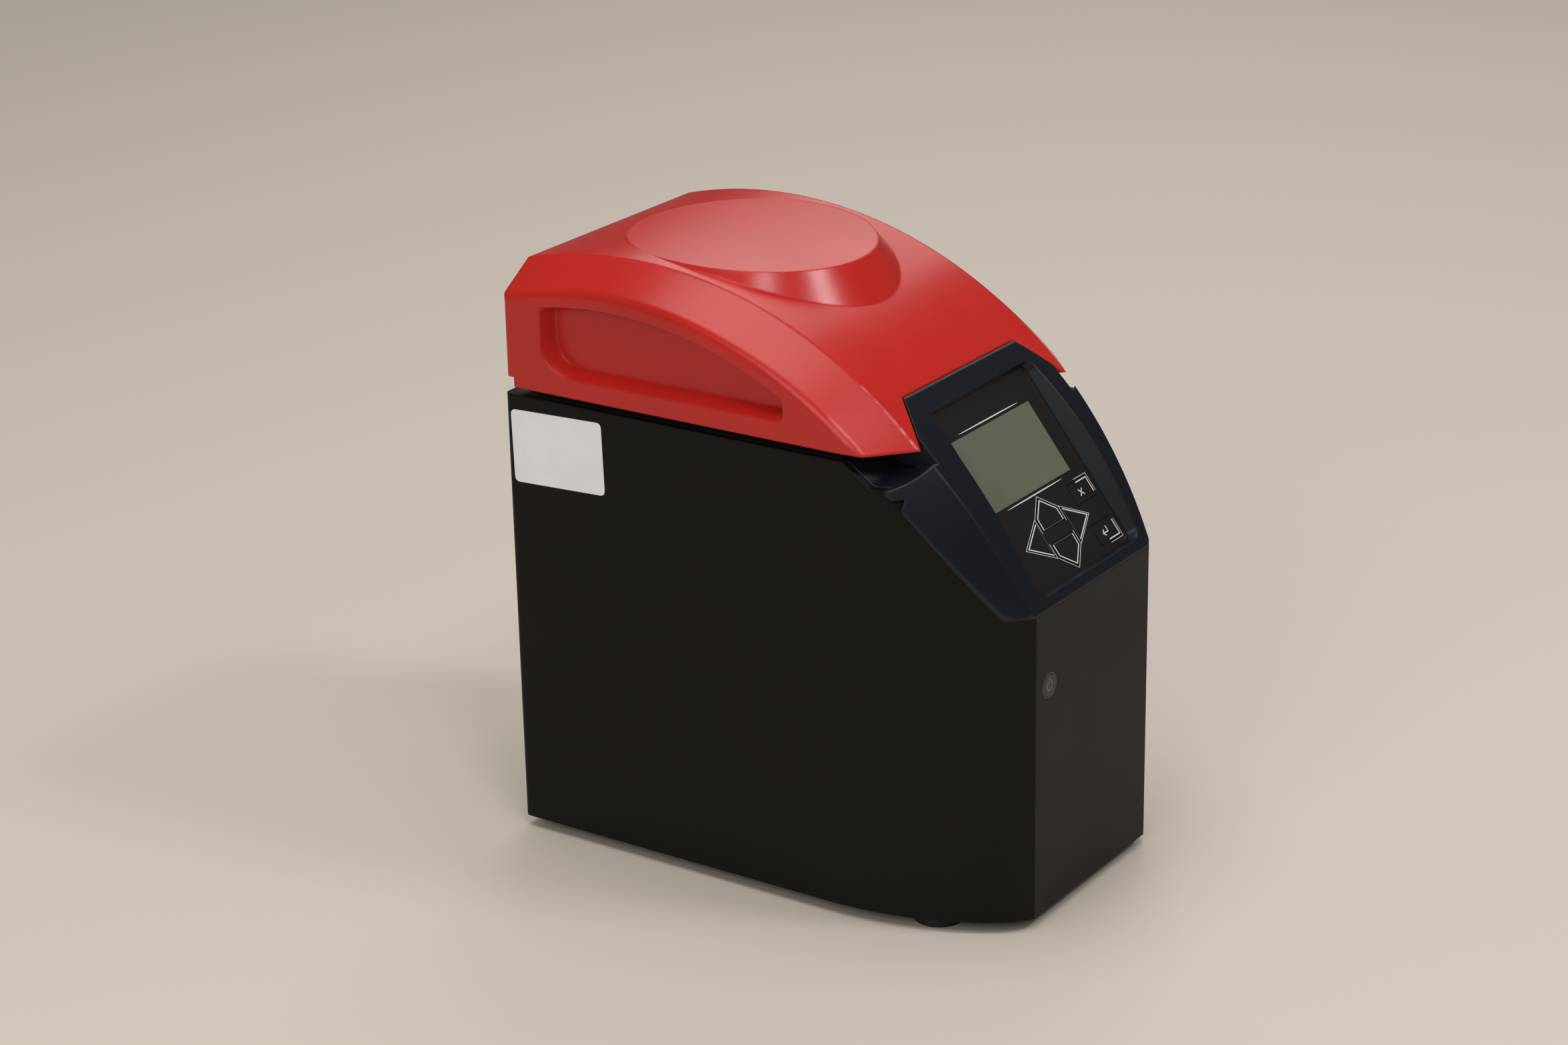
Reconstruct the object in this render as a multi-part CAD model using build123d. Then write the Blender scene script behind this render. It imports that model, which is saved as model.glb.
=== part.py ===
from build123d import *
import os
from math import atan2, cos, degrees, hypot, pi, radians, sin, sqrt, tan

os.makedirs("parts", exist_ok=True)

# A bench bead mill homogenizer, in millimetres. Origin: bottom centre, on the bench.
# +Z is up, the front face looks along -Y, X runs across the width.

# Outer body
HALF_WIDTH = 80.0
FRONT_Y = -123.0
REAR_Y = 124.0
FRONT_FLAT_HALF = 48.0
SIDE_CURVE_Y = -40.0
SIDE_CURVE_END = (60.0, -111.5)
REAR_CORNER_RADIUS = 3.0
WALL = 3.0
HOUSING_BOTTOM_Z = 5.3
SEAM_Z = 206.4
SEAM_GAP = 3.1

# Side profile: the lid arc runs on into a flatter console arc
LID_RADIUS = 202.0
LID_CENTRE_Y = 69.3
LID_TOP_Z = 269.7
LID_CENTRE_Z = LID_TOP_Z - LID_RADIUS
LID_ARC_END_DEG = 38.9
LID_TIP_DEG = 48.0
CONSOLE_BOTTOM_Z = 142.5

# Chamfer facets along both sides
CREASE_HALF = 60.0
FACET_SLOPE = 0.615
CREASE_TAPER = 10.5
CREASE_TAPER_POWER = 1.6
FACET_STEEPEN = 0.5
FACET_EASE = 0.25
CONSOLE_OVERRUN = 1.1
CREASE_ROUND = 2.5
EDGE_ROUND = 5.0

# Lid
LID_SIDE_INSET = 0.8
LID_PLAN_EASE = 0.05
LID_COVE_Y = 119.0
LID_COVE_Z = 214.0
NOTCH_HALF = 45.0
NOTCH_Y = -56.5
TIP_X = 59.0
TIP_Y = -74.5
NOTCH_GAP = 0.8
DOME_Y = 46.0
DOME_TOP_Z = LID_TOP_Z - 0.8
DOME_TILT_DEG = 3.4
DOME_CROWN_RADIUS = 737.0
DOME_CAP = 6.0
DOME_TOP_RADIUS = 53.5
DOME_WALL_DEG = 40.0
DOME_HEIGHT = 24.0
GRIP_DEPTH = 8.0
GRIP_LOW_Z = 217.5
GRIP_FRONT_Y = -21.0
GRIP_REAR_Y = 104.5
GRIP_TOP_DROP = 18.2
GRIP_CORNER = 15.0
GRIP_DRAFT_DEG = 22.0
GRIP_FRONT_CORNER = 2.0

# Console window: overlay, display and keys lie in one sloping plane
WINDOW_SLOPE_DEG = 52.4
WINDOW_TOP_Y = -72.1
WINDOW_TOP_Z = 204.2
OVERLAY_MID_X = 2.3
OVERLAY_HALF = 39.7
OVERLAY_ABOVE = 14.0
OVERLAY_BELOW = 73.0
OVERLAY_THICK = 1.5
OVERLAY_CORNER = 3.0
OVERLAY_LEDGE = 2.0
TROUGH_DRAFT_DEG = 26.0
CONSOLE_SKIN = 2.5
CONSOLE_LIP = 1.0
CONSOLE_SEAT_GAP = 0.1
LCD_HALF = 31.6
LCD_HEIGHT = 34.6
LCD_BORDER = 3.5
PANE_GAP = 0.1
PANE_DROP = 0.05
KEY_DOME_RADIUS = 2.5
KEY_DOME_HEIGHT = 1.0
KEY_RISE = 0.15
KEY_GAP = 0.25
KEY_CENTRE = 54.5
KEY_TRAVEL = 0.4
BOARD_THICK = 1.6
BOARD_FRONT_Y = -100.4
BOARD_HALF = 58.0
BOARD_LOW_Z = 20.0
BOARD_HIGH_Z = 118.0
TAB_X = 40.0
TAB_HALF = 6.0
TAB_THICK = 1.5
TAB_HIGH_Z = 40.0
SUPPLY_HALF = 50.0
SUPPLY_FRONT_Y = -76.0
SUPPLY_REAR_Y = -14.0
SUPPLY_LOW_Z = 14.0
POST_RADIUS = 3.0
POST_INSET = 4.0
PROCESSOR_X = (-50.0, -20.0)
PROCESSOR_Z = (84.0, 112.0)
PROCESSOR_HEIGHT = 13.0
RELAY_X = (10.0, 34.0)
RELAY_Z = (60.0, 74.0)
RELAY_HEIGHT = 11.0
SOCKET_BLOCK_X = (38.0, 52.0)
SOCKET_BLOCK_Z = (30.0, 60.0)
SOCKET_BLOCK_HEIGHT = 15.0
CAPACITOR_RADIUS = 6.0
CAPACITOR_HEIGHT = 19.0
CAPACITOR_X = (-40.0, -24.0)
CAPACITOR_Z = 50.0
TRANSFORMER_X = (-40.0, -6.0)
TRANSFORMER_Y = (-60.0, -26.0)
TRANSFORMER_HIGH_Z = 44.0
RESERVOIR_RADIUS = 9.0
RESERVOIR_X = 10.0
RESERVOIR_Y = (-56.0, -32.0)
RESERVOIR_HIGH_Z = 42.0
HEAT_SINK_X = (24.0, 44.0)
HEAT_SINK_Y = (-66.0, -22.0)
HEAT_SINK_HIGH_Z = 38.0

# Finger scoops under the lid tips
SCOOP_LOW_Z = 195.3
SCOOP_REAR_Y = -48.5
SCOOP_FLOOR_REAR_Y = -62.0
SCOOP_FRONT_Y = -73.5
SCOOP_INNER_FRONT_Y = -81.0
SCOOP_INNER_X = 55.0
SCOOP_INNER_Z = 201.0
SCOOP_SHELL = 2.5
SCOOP_ROUND = 5.0
SCOOP_TAPER_Y = 8.0
EAR_X = 46.0
EAR_REAR_Y = -47.0

# Power button
BUTTON_X = -36.8
BUTTON_Z = 108.5
BUTTON_RADIUS = 5.0
BUTTON_RING_RADIUS = 5.8
BUTTON_GAP = 0.2
BUTTON_DEPTH = 6.0
BUTTON_LIP = 0.6
BUTTON_LIP_THICK = 2.0
BUTTON_TRAVEL = 1.0
BUTTON_SWITCH_DEPTH = 14.0

# Base, feet and screws
FOOT_RADIUS = 11.0
FOOT_HEIGHT = 6.0
FOOT_X = 58.0
FOOT_FRONT_Y = -82.0
FOOT_REAR_Y = 106.0
BASE_THICK = 2.5
BASE_INSET = 3.2
SCREW_RADIUS = 2.0
SCREW_HEAD_RADIUS = 3.8
BOSS_RADIUS = 5.5
BOSS_HEIGHT = 14.0
RIB_HALF = 1.5
SCREW_CLEAR = 0.2
SCREW_HEAD_LOW_Z = 1.2
SCREW_HEAD_HIGH_Z = 3.6
SCREW_TIP_SHORT = 2.0
LEDGE_WIDTH = 3.0
LEDGE_FRONT_Y = -40.0

# Rear panel, inlet and fan
PANEL_SIDE = 10.0
PANEL_HALF = HALF_WIDTH - PANEL_SIDE
PANEL_LOW_Z = 12.0
PANEL_HIGH_Z = 156.0
PANEL_THICK = 1.5
PANEL_FRAME = 6.0
PANEL_SCREW_RADIUS = 2.4
PANEL_SCREW_HEIGHT = 1.6
PANEL_SCREW_INSET = 3.0
VENT_HALF = 2.0
VENT_STEP = 8.0
VENT_COUNT = 9
VENT_LOW_Z = 118.0
VENT_HIGH_Z = 142.0
INLET_SIDE = 22.0
INLET_X = PANEL_HALF - INLET_SIDE
INLET_LOW_Z = 24.0
INLET_HIGH_Z = 92.0
INLET_HALF = 15.0
INLET_FLANGE = 2.0
INLET_DEPTH = 18.0
INLET_LIP = 2.2
INLET_HOLE_INSET = 2.0
SOCKET_Z = 41.0
SOCKET_HALF_X = 12.2
SOCKET_HALF_Z = 8.4
SOCKET_DEPTH = 16.5
SOCKET_CORNER = 4.5
PIN_LENGTH = 11.0
PIN_HALF_X = 1.0
PIN_HALF_Z = 2.0
PIN_SPREAD = 7.0
EARTH_PIN_RISE = 3.0
LIVE_PIN_DROP = 2.0
FUSE_Z = 61.0
FUSE_HALF_X = 9.0
FUSE_HALF_Z = 4.0
FUSE_DEPTH = 15.5
FUSE_GRIP_HALF = 3.0
FUSE_GRIP_DEPTH = 1.2
ROCKER_Z = 78.0
ROCKER_HALF_X = 9.0
ROCKER_HALF_Z = 8.0
ROCKER_REACH = 6.6
ROCKER_PIVOT_DEPTH = 6.0
ROCKER_TILT_DEG = 9.0
ROCKER_ROOM = 1.0
ROCKER_WELL_DEPTH = 13.0
FIT_GAP = 0.3
FAN_SIDE = 32.0
FAN_X = FAN_SIDE - PANEL_HALF
FAN_Z = 62.0
FAN_SIZE = 60.0
FAN_DEPTH = 15.0
FAN_HOLE_RADIUS = 28.0
FAN_HUB_RADIUS = 12.0
FAN_SPOKE_HALF = 2.0
FAN_SPOKE_THICK = 2.0
FAN_PIN_RADIUS = 1.5
FAN_SLOT_STEP = 7.5
FAN_BLADES = 7
FAN_BLADE_DEG = 38.0
FAN_BLADE_THICK = 1.6
FAN_BLADE_WIDTH = 10.0
FAN_BLADE_LENGTH = 15.0

# Chamber and deck
AXIS_Y = 42.0
DECK_THICK = 3.0
DECK_FRONT_Y = -54.0
BOWL_RADIUS = 57.0
BOWL_WALL = 2.5
BOWL_FLOOR_Z = 170.0
BOWL_FLANGE = 5.0
BOWL_CHAMFER = 5.0
BOWL_FLANGE_THICK = 2.0
COLLAR_RADIUS = 13.0
COLLAR_WALL = 3.0
COLLAR_HEIGHT = 12.0
GASKET_HEIGHT = 1.1
GASKET_INSET = 2.0
GASKET_WIDTH = 4.0
GASKET_STEP = 0.5
LINER_TOP_Z = 250.0
LINER_RADIUS = BOWL_RADIUS + 3.0
LINER_TOP_RADIUS = LINER_RADIUS - 14.0
LINER_WALL = 2.0
LINER_SKIRT = 14.0
LINER_RIM = 3.0
PILLAR_RADIUS = 4.0
PILLAR_X = 30.0
PILLAR_SHIFT_Y = 8.0

# Drive: crank disc, rod and guided carriage on the chamber axis
CRANK_Z = 62.0
CRANK_THROW = 5.0
ROD_LENGTH = 50.0
ROD_THICK = 8.0
ROD_BIG_RADIUS = 11.0
ROD_SMALL_RADIUS = 7.0
PIN_RADIUS = 4.0
CRANK_BEARING_RADIUS = 7.5
WRIST_RADIUS = 3.0
RUN_GAP = 0.05
CRANK_GAP = 1.0
ROD_WEB_HALF = 4.5
PIN_HEAD = 1.5
FORK_WALL = 5.5
FORK_HALF = 9.0
FORK_CAP = 3.0
FORK_ROOM = 4.5
BORE_DEPTH = 4.0
DISC_RADIUS = 24.0
DISC_THICK = 10.0
DISC_HOLE_RADIUS = 5.5
DISC_HOLE_X = 13.0
DISC_HOLE_DROP = 9.0
DISC_STAND_GAP = 2.0
MOTOR_SHAFT_RADIUS = 6.0
MOTOR_RADIUS = 36.0
MOTOR_WALL = 7.0
MOTOR_LENGTH = 28.0
ROTOR_GAP = 0.6
BEARING_RADIUS = 14.0
BEARING_WIDTH = 9.0
REAR_BEARING_RADIUS = 11.0
REAR_BEARING_WIDTH = 5.0
STAND_THICK = 12.0
SLAB_LOW_Z = 14.0
SLAB_HIGH_Z = 24.0
SLAB_HALF = 55.0
SLAB_FRONT_Y = -8.0
SLAB_REAR_Y = 100.0
STAND_HALF = 40.0
STAND_RISE = 40.0
COLUMN_HALF = 22.0
MOUNT_RADIUS = 9.0
MOUNT_X = 44.0
MOUNT_FRONT_Y = 2.0
MOUNT_REAR_Y = 90.0
SHAFT_RADIUS = 8.0
STUD_RADIUS = 4.0
STUD_GAP = 0.1
STUD_REACH = 6.0
BUSH_RADIUS = 12.0
BUSH_LENGTH = 12.0
GUIDE_RADIUS = 17.0
GUIDE_CLEAR = 2.0
GUIDE_HIGH_Z = 164.0

# Sample holder
TUBE_COUNT = 12
TUBE_BORE_RADIUS = 5.6
HOLDER_ROOM = 7.0
HOLDER_RADIUS = BOWL_RADIUS - HOLDER_ROOM
TUBE_RIM = 10.0
TUBE_CIRCLE_RADIUS = HOLDER_RADIUS - TUBE_RIM
HOLDER_CHAMFER = 1.5
HOLDER_LOW_Z = 200.0
HOLDER_THICK = 12.0
HOLDER_BOSS_RADIUS = 14.0
HOLDER_BOSS_HEIGHT = 8.0
CLAMP_RADIUS = HOLDER_RADIUS - 2.0
CLAMP_RIM = 4.0
CLAMP_DISH = 1.2
CLAMP_THICK = 3.5
KNOB_RADIUS = 16.0
KNOB_HEIGHT = 12.5
KNOB_CHAMFER = 2.0
KNOB_LOBES = 6
KNOB_LOBE_RADIUS = 4.0
KNOB_THREAD_DEPTH = 7.0
HUB_RADIUS = 22.0
HUB_LOW_Z = 186.0
SKIRT_WALL = 2.5
SKIRT_DROP = 12.0

# Lid lock and hinge
LOCK_Y = -49.0
LOCK_Z = 199.5
BOLT_RADIUS = 3.0
BOLT_LENGTH = 34.0
SOLENOID_NEAR_X = -14.0
SOLENOID_FAR_X = -44.0
SOLENOID_HALF_Z = 9.0
SOLENOID_FRONT = 4.9
SOLENOID_REAR = 8.0
STRIKER_HALF = 2.0
STRIKER_ROOM = 1.5
STRIKER_REACH = 4.5
STRIKER_ROOT_HALF = 6.0
STRIKER_ROOT_DEPTH = 7.0
HINGE_Y = 120.3
HINGE_Z = 208.0
HINGE_RADIUS = 3.1
HINGE_PIN_RADIUS = 1.5
HINGE_X = 50.0
HINGE_LENGTH = 6.0
HINGE_SIDE_GAP = 0.2
HINGE_SLOT_HALF = 8.0
HINGE_SLOT_FRONT_Y = 114.0
HINGE_FOOT_FRONT_Y = 104.0
HINGE_LEAF_THICK = 3.0
HINGE_LEAF_RISE = 22.0

LID_Z = SEAM_Z + SEAM_GAP
BASE_LOW_Z = FOOT_HEIGHT
BASE_HIGH_Z = BASE_LOW_Z + BASE_THICK
BIG = 400.0


def block(x, y, z):
    """A box from its low and high bounds along each axis."""
    size = (x[1] - x[0], y[1] - y[0], z[1] - z[0])
    return Pos((x[0] + x[1]) / 2, (y[0] + y[1]) / 2, (z[0] + z[1]) / 2) * Box(*size)


def rod_x(radius, y, z, x0, x1):
    return Pos((x0 + x1) / 2, y, z) * Rot(0, 90, 0) * Cylinder(radius, x1 - x0)


def rod_y(radius, x, z, y0, y1):
    return Pos(x, (y0 + y1) / 2, z) * Rot(90, 0, 0) * Cylinder(radius, y1 - y0)


def rod_z(radius, x, y, z0, z1):
    return Pos(x, y, (z0 + z1) / 2) * Cylinder(radius, z1 - z0)


def mirror_x(shape):
    return mirror(shape, about=Plane.YZ)


def polygon(points):
    return make_face(Polyline(*points, close=True))


def save(shape, name):
    solids = [solid for solid in shape.solids()]
    whole = solids[0] if len(solids) == 1 else Compound(children=solids)
    whole.label = name
    export_step(whole, f"parts/{name}.step")


# Side profile geometry
def lid_point(angle_deg, radius=LID_RADIUS):
    a = radians(angle_deg)
    return (LID_CENTRE_Y - radius * sin(a), LID_CENTRE_Z + radius * cos(a))


JOIN_Y, JOIN_Z = lid_point(LID_ARC_END_DEG)
CONSOLE_CHORD = hypot(JOIN_Y - FRONT_Y, JOIN_Z - CONSOLE_BOTTOM_Z)
CONSOLE_CHORD_DEG = degrees(atan2(JOIN_Z - CONSOLE_BOTTOM_Z, JOIN_Y - FRONT_Y))
CONSOLE_TURN_DEG = CONSOLE_CHORD_DEG - LID_ARC_END_DEG
CONSOLE_RADIUS = CONSOLE_CHORD / (2 * sin(radians(CONSOLE_TURN_DEG)))
CONSOLE_CENTRE_Y = JOIN_Y + CONSOLE_RADIUS * sin(radians(LID_ARC_END_DEG))
CONSOLE_CENTRE_Z = JOIN_Z - CONSOLE_RADIUS * cos(radians(LID_ARC_END_DEG))


def radial_plane(centre_y, centre_z, angle_deg):
    """Plane through a centre line along X: local x is X, local y points outwards."""
    a = radians(angle_deg)
    return Plane(origin=(0, centre_y, centre_z), x_dir=(1, 0, 0), z_dir=(0, -cos(a), -sin(a)))


def plan_face(inset):
    """Plan outline of the body, moved inwards."""
    side = Line((HALF_WIDTH, REAR_Y), (HALF_WIDTH, SIDE_CURVE_Y))
    sweep = TangentArc((HALF_WIDTH, SIDE_CURVE_Y), SIDE_CURVE_END, tangent=(0, -1))
    corner = TangentArc(SIDE_CURVE_END, (FRONT_FLAT_HALF, FRONT_Y), tangent=sweep % 1)
    right = [side, sweep, corner]
    left = [mirror_x(edge) for edge in right]
    front = Line((FRONT_FLAT_HALF, FRONT_Y), (-FRONT_FLAT_HALF, FRONT_Y))
    rear = Line((-HALF_WIDTH, REAR_Y), (HALF_WIDTH, REAR_Y))
    face = make_face(Curve() + right + left + [front, rear])
    face = fillet(face.vertices().sort_by(Axis.Y)[-2:], REAR_CORNER_RADIUS)
    if inset == 0:
        return face
    return offset(face, amount=-inset, kind=Kind.INTERSECTION)


def plan_prism(inset, low_z, high_z):
    return Pos(0, 0, low_z) * extrude(plan_face(inset), amount=high_z - low_z)


def lid_section(top_inset, side_inset, rounded):
    """Half-open cross section of the lid crown, in a radial plane."""
    radius = LID_RADIUS - top_inset
    slant = top_inset * (sqrt(1 + FACET_SLOPE ** 2) - 1)
    crease = CREASE_HALF - slant / FACET_SLOPE
    edge = HALF_WIDTH - side_inset
    low = radius - FACET_SLOPE * (edge - crease)
    points = [(-edge, 10), (edge, 10), (edge, low), (crease, radius), (-crease, radius), (-edge, low)]
    face = polygon(points)
    if rounded:
        upper = [v for v in face.vertices() if abs(v.Y - radius) < 0.01]
        face = fillet(upper, CREASE_ROUND)
        lower = [v for v in face.vertices() if abs(v.Y - low) < 0.01]
        face = fillet(lower, EDGE_ROUND)
    return face


def lid_crown(top_inset, side_inset, end_deg=LID_ARC_END_DEG, rounded=False):
    """Solid under the lid arc, swept about the centre line of the arc."""
    start = radial_plane(LID_CENTRE_Y, LID_CENTRE_Z, -70)
    face = start * lid_section(top_inset, side_inset, rounded)
    axis = Axis((0, LID_CENTRE_Y, LID_CENTRE_Z), (1, 0, 0))
    return revolve(face, axis, revolution_arc=70 + end_deg)


def console_section(step, top_inset):
    """Cross section of the console crown at a share of its arc, in a radial plane."""
    turn = 2 * CONSOLE_TURN_DEG
    crease = CREASE_HALF - CREASE_TAPER * step ** CREASE_TAPER_POWER
    slope = FACET_SLOPE + FACET_STEEPEN * step - FACET_EASE * step ** 2
    slant = top_inset * (sqrt(1 + slope ** 2) - 1)
    crease = crease - slant / slope
    radius = CONSOLE_RADIUS - top_inset
    edge = HALF_WIDTH + 12
    low = radius - slope * (edge - crease)
    points = [(-edge, 40), (edge, 40), (edge, low), (crease, radius), (-crease, radius), (-edge, low)]
    plane = radial_plane(CONSOLE_CENTRE_Y, CONSOLE_CENTRE_Z, LID_ARC_END_DEG + step * turn)
    return plane * polygon(points)


def console_crown(top_inset):
    """Solid under the console arc, with facets that narrow towards the front."""
    steps = [i * CONSOLE_OVERRUN / 5 for i in range(6)]
    return loft([console_section(step, top_inset) for step in steps])


def body_envelope(plan_inset, top_inset, low_z=HOUSING_BOTTOM_Z):
    """The whole outer body, with its plan and its top surfaces moved inwards."""
    prism = plan_prism(plan_inset, low_z, BIG)
    core = block((-BIG, BIG), (-BIG, BIG), (0, CONSOLE_BOTTOM_Z))
    crown = core + lid_crown(top_inset, -12) + console_crown(top_inset)
    return prism & crown


def notch_face(gap):
    """Plan area in front of the lid, with its boundary moved forwards by the gap."""
    y = NOTCH_Y - gap
    shift = gap * 0.5
    points = [
        (-BIG, -BIG), (BIG, -BIG), (BIG, TIP_Y - gap), (TIP_X - shift, TIP_Y - gap),
        (NOTCH_HALF - shift, y), (shift - NOTCH_HALF, y), (shift - TIP_X, TIP_Y - gap),
        (-BIG, TIP_Y - gap),
    ]
    return polygon(points)


def front_zone(gap):
    return extrude(notch_face(gap), amount=BIG)


# Console window plane: local x is X, local y runs up the slope, local z points out
SLOPE = radians(WINDOW_SLOPE_DEG)
WINDOW = Plane(
    origin=(0, WINDOW_TOP_Y, WINDOW_TOP_Z),
    x_dir=(1, 0, 0),
    z_dir=(0, -sin(SLOPE), cos(SLOPE)),
)
OVERLAY_MID = (OVERLAY_ABOVE - OVERLAY_BELOW) / 2
OVERLAY_LONG = OVERLAY_ABOVE + OVERLAY_BELOW


def window_plate(grow, low, high, taper=0.0, corner=OVERLAY_CORNER):
    """A rounded plate parallel to the overlay, from one height to another."""
    sketch = RectangleRounded(2 * (OVERLAY_HALF + grow), OVERLAY_LONG + 2 * grow, corner)
    local = Pos(OVERLAY_MID_X, OVERLAY_MID, low) * sketch
    return extrude(WINDOW * local, amount=high - low, taper=taper)


def window_block(x, s, n):
    """A box in window coordinates: x across, s down from the display's top, n outwards."""
    size = (x[1] - x[0], s[1] - s[0], n[1] - n[0])
    place = Pos((x[0] + x[1]) / 2, -(s[0] + s[1]) / 2, (n[0] + n[1]) / 2)
    return WINDOW * (place * Box(*size))


def key_outlines():
    """Key outlines in window coordinates (x across, s down)."""
    c = KEY_CENTRE
    up = [(0, c - 16.5), (9.0, c - 9.0), (9.0, c - 3.0), (-9.0, c - 3.0), (-9.0, c - 9.0)]
    down = [(x, 2 * c - s) for x, s in up]
    right = [(10.5, c - 8.5), (25.5, c), (10.5, c + 8.5)]
    left = [(-x, s) for x, s in right]
    escape = [(22.0, c - 15.0), (38.8, c - 15.0), (38.8, c - 5.0), (22.0, c - 5.0)]
    enter = [(x, 2 * c - s) for x, s in escape]
    return {
        "key_up": up, "key_down": down, "key_left": left,
        "key_right": right, "key_escape": escape, "key_enter": enter,
    }


def key_prism(outline, shrink, low, high):
    face = polygon([(x, -s) for x, s in outline])
    if shrink:
        face = offset(face, amount=-shrink, kind=Kind.INTERSECTION)
    return extrude(WINDOW * (Pos(0, 0, low) * face), amount=high - low)


# Finger scoops
def scoop_cutter():
    """Pocket under one lid tip: deep at the side wall, shallow towards the middle."""
    outer = [
        (SCOOP_REAR_Y, SEAM_Z + 20), (SCOOP_REAR_Y, SEAM_Z), (SCOOP_FLOOR_REAR_Y, SCOOP_LOW_Z),
        (SCOOP_FRONT_Y, SCOOP_LOW_Z), (SCOOP_FRONT_Y, SEAM_Z + 20),
    ]
    rise = SCOOP_INNER_Z
    rear = SCOOP_REAR_Y - SCOOP_TAPER_Y
    inner = [
        (rear, SEAM_Z + 20), (rear, SEAM_Z), (SCOOP_FLOOR_REAR_Y, rise),
        (SCOOP_INNER_FRONT_Y, rise), (SCOOP_INNER_FRONT_Y, SEAM_Z + 20),
    ]
    outer_face = Plane.YZ.offset(HALF_WIDTH + 2) * polygon(outer)
    inner_face = Plane.YZ.offset(SCOOP_INNER_X) * polygon(inner)
    pocket = loft([outer_face, inner_face])
    low_edges = [edge for edge in pocket.edges() if edge.center().Z < SCOOP_INNER_Z + 0.5]
    floor_edges = [edge for edge in low_edges if edge.bounding_box().size.X > 10]
    return fillet(floor_edges, SCOOP_ROUND)


def scoop_pair():
    right = scoop_cutter()
    return right + mirror_x(right)


SCOOPS = scoop_pair()
NOTCH_CLEAR = block((-BIG, BIG), (-BIG, BIG), (SEAM_Z, BIG)) - front_zone(NOTCH_GAP)


# Console moulding
def make_console():
    outer = body_envelope(0, 0, CONSOLE_BOTTOM_Z)
    below_skin = body_envelope(WALL + CONSOLE_SEAT_GAP, CONSOLE_SKIN, CONSOLE_BOTTOM_Z - 5)
    below_lip = body_envelope(-1, CONSOLE_LIP, CONSOLE_BOTTOM_Z - 5)
    wall_room = below_lip - plan_prism(WALL + CONSOLE_SEAT_GAP, 0, BIG)
    zone = front_zone(NOTCH_GAP)
    skin = (outer - below_skin) & zone
    wall = (front_zone(NOTCH_GAP) - front_zone(NOTCH_GAP + CONSOLE_SKIN)) & outer
    wall = wall & block((-BIG, BIG), (TIP_Y - 15.5, 0), (SEAM_Z - DECK_THICK, BIG))
    ear_y = (SCOOP_INNER_FRONT_Y - SCOOP_SHELL, EAR_REAR_Y)
    ear = block((EAR_X, HALF_WIDTH), ear_y, (SCOOP_LOW_Z - SCOOP_SHELL, SEAM_Z))
    ears = (ear + mirror_x(ear)) & outer
    tub = window_plate(CONSOLE_SKIN, -OVERLAY_THICK - CONSOLE_SKIN, 0)
    tub = (tub + window_plate(CONSOLE_SKIN, 0, 14, taper=-TROUGH_DRAFT_DEG)) & outer & zone
    shell = skin + wall + tub + ears
    trough = window_plate(0.0, 0.0, 16, taper=-TROUGH_DRAFT_DEG)
    pocket = window_plate(KEY_GAP, -OVERLAY_THICK, 0.1)
    opening = window_plate(-OVERLAY_LEDGE, -20, 0.1, corner=OVERLAY_CORNER - 1)
    return shell - wall_room - trough - pocket - opening - SCOOPS - NOTCH_CLEAR


def make_overlay():
    plate = window_plate(0, -OVERLAY_THICK, 0)
    glass = window_block((-LCD_HALF, LCD_HALF), (0, LCD_HEIGHT), (-5, 5))
    for outline in key_outlines().values():
        plate = plate - key_prism(outline, 0, -5, 5)
    return plate - glass


def make_display_glass():
    x = (PANE_GAP - LCD_HALF, LCD_HALF - PANE_GAP)
    return window_block(x, (PANE_GAP, LCD_HEIGHT - PANE_GAP), (-OVERLAY_THICK, -PANE_DROP))


BOARD_TOP = -OVERLAY_THICK - CONSOLE_SKIN


def make_display_module():
    x = (-LCD_HALF - LCD_BORDER, LCD_HALF + LCD_BORDER)
    return window_block(x, (-LCD_BORDER, LCD_HEIGHT + 2), (BOARD_TOP, -OVERLAY_THICK - 0.1))


def make_display_board():
    x = (OVERLAY_MID_X - OVERLAY_HALF, OVERLAY_MID_X + OVERLAY_HALF)
    board = window_block(x, (4 - OVERLAY_ABOVE, OVERLAY_BELOW - 2), (BOARD_TOP - BOARD_THICK, BOARD_TOP))
    for outline in key_outlines().values():
        x = sum(p[0] for p in outline) / len(outline)
        s = sum(p[1] for p in outline) / len(outline)
        place = Pos(x, -s, BOARD_TOP + KEY_DOME_HEIGHT / 2)
        dome = WINDOW * (place * Cylinder(KEY_DOME_RADIUS, KEY_DOME_HEIGHT))
        board = board + dome
    return board


def make_keys():
    low = BOARD_TOP + KEY_DOME_HEIGHT + KEY_TRAVEL + PANE_GAP
    return {name: key_prism(outline, KEY_GAP, low, KEY_RISE) for name, outline in key_outlines().items()}


# Housing
def rear_window():
    x = PANEL_HALF - PANEL_FRAME
    z = (PANEL_LOW_Z + PANEL_FRAME, PANEL_HIGH_Z - PANEL_FRAME)
    return block((-x, x), (REAR_Y - WALL - 1, REAR_Y + 1), z)


def corner_places():
    return [(x, y) for x in (-FOOT_X, FOOT_X) for y in (FOOT_FRONT_Y, FOOT_REAR_Y)]


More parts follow.
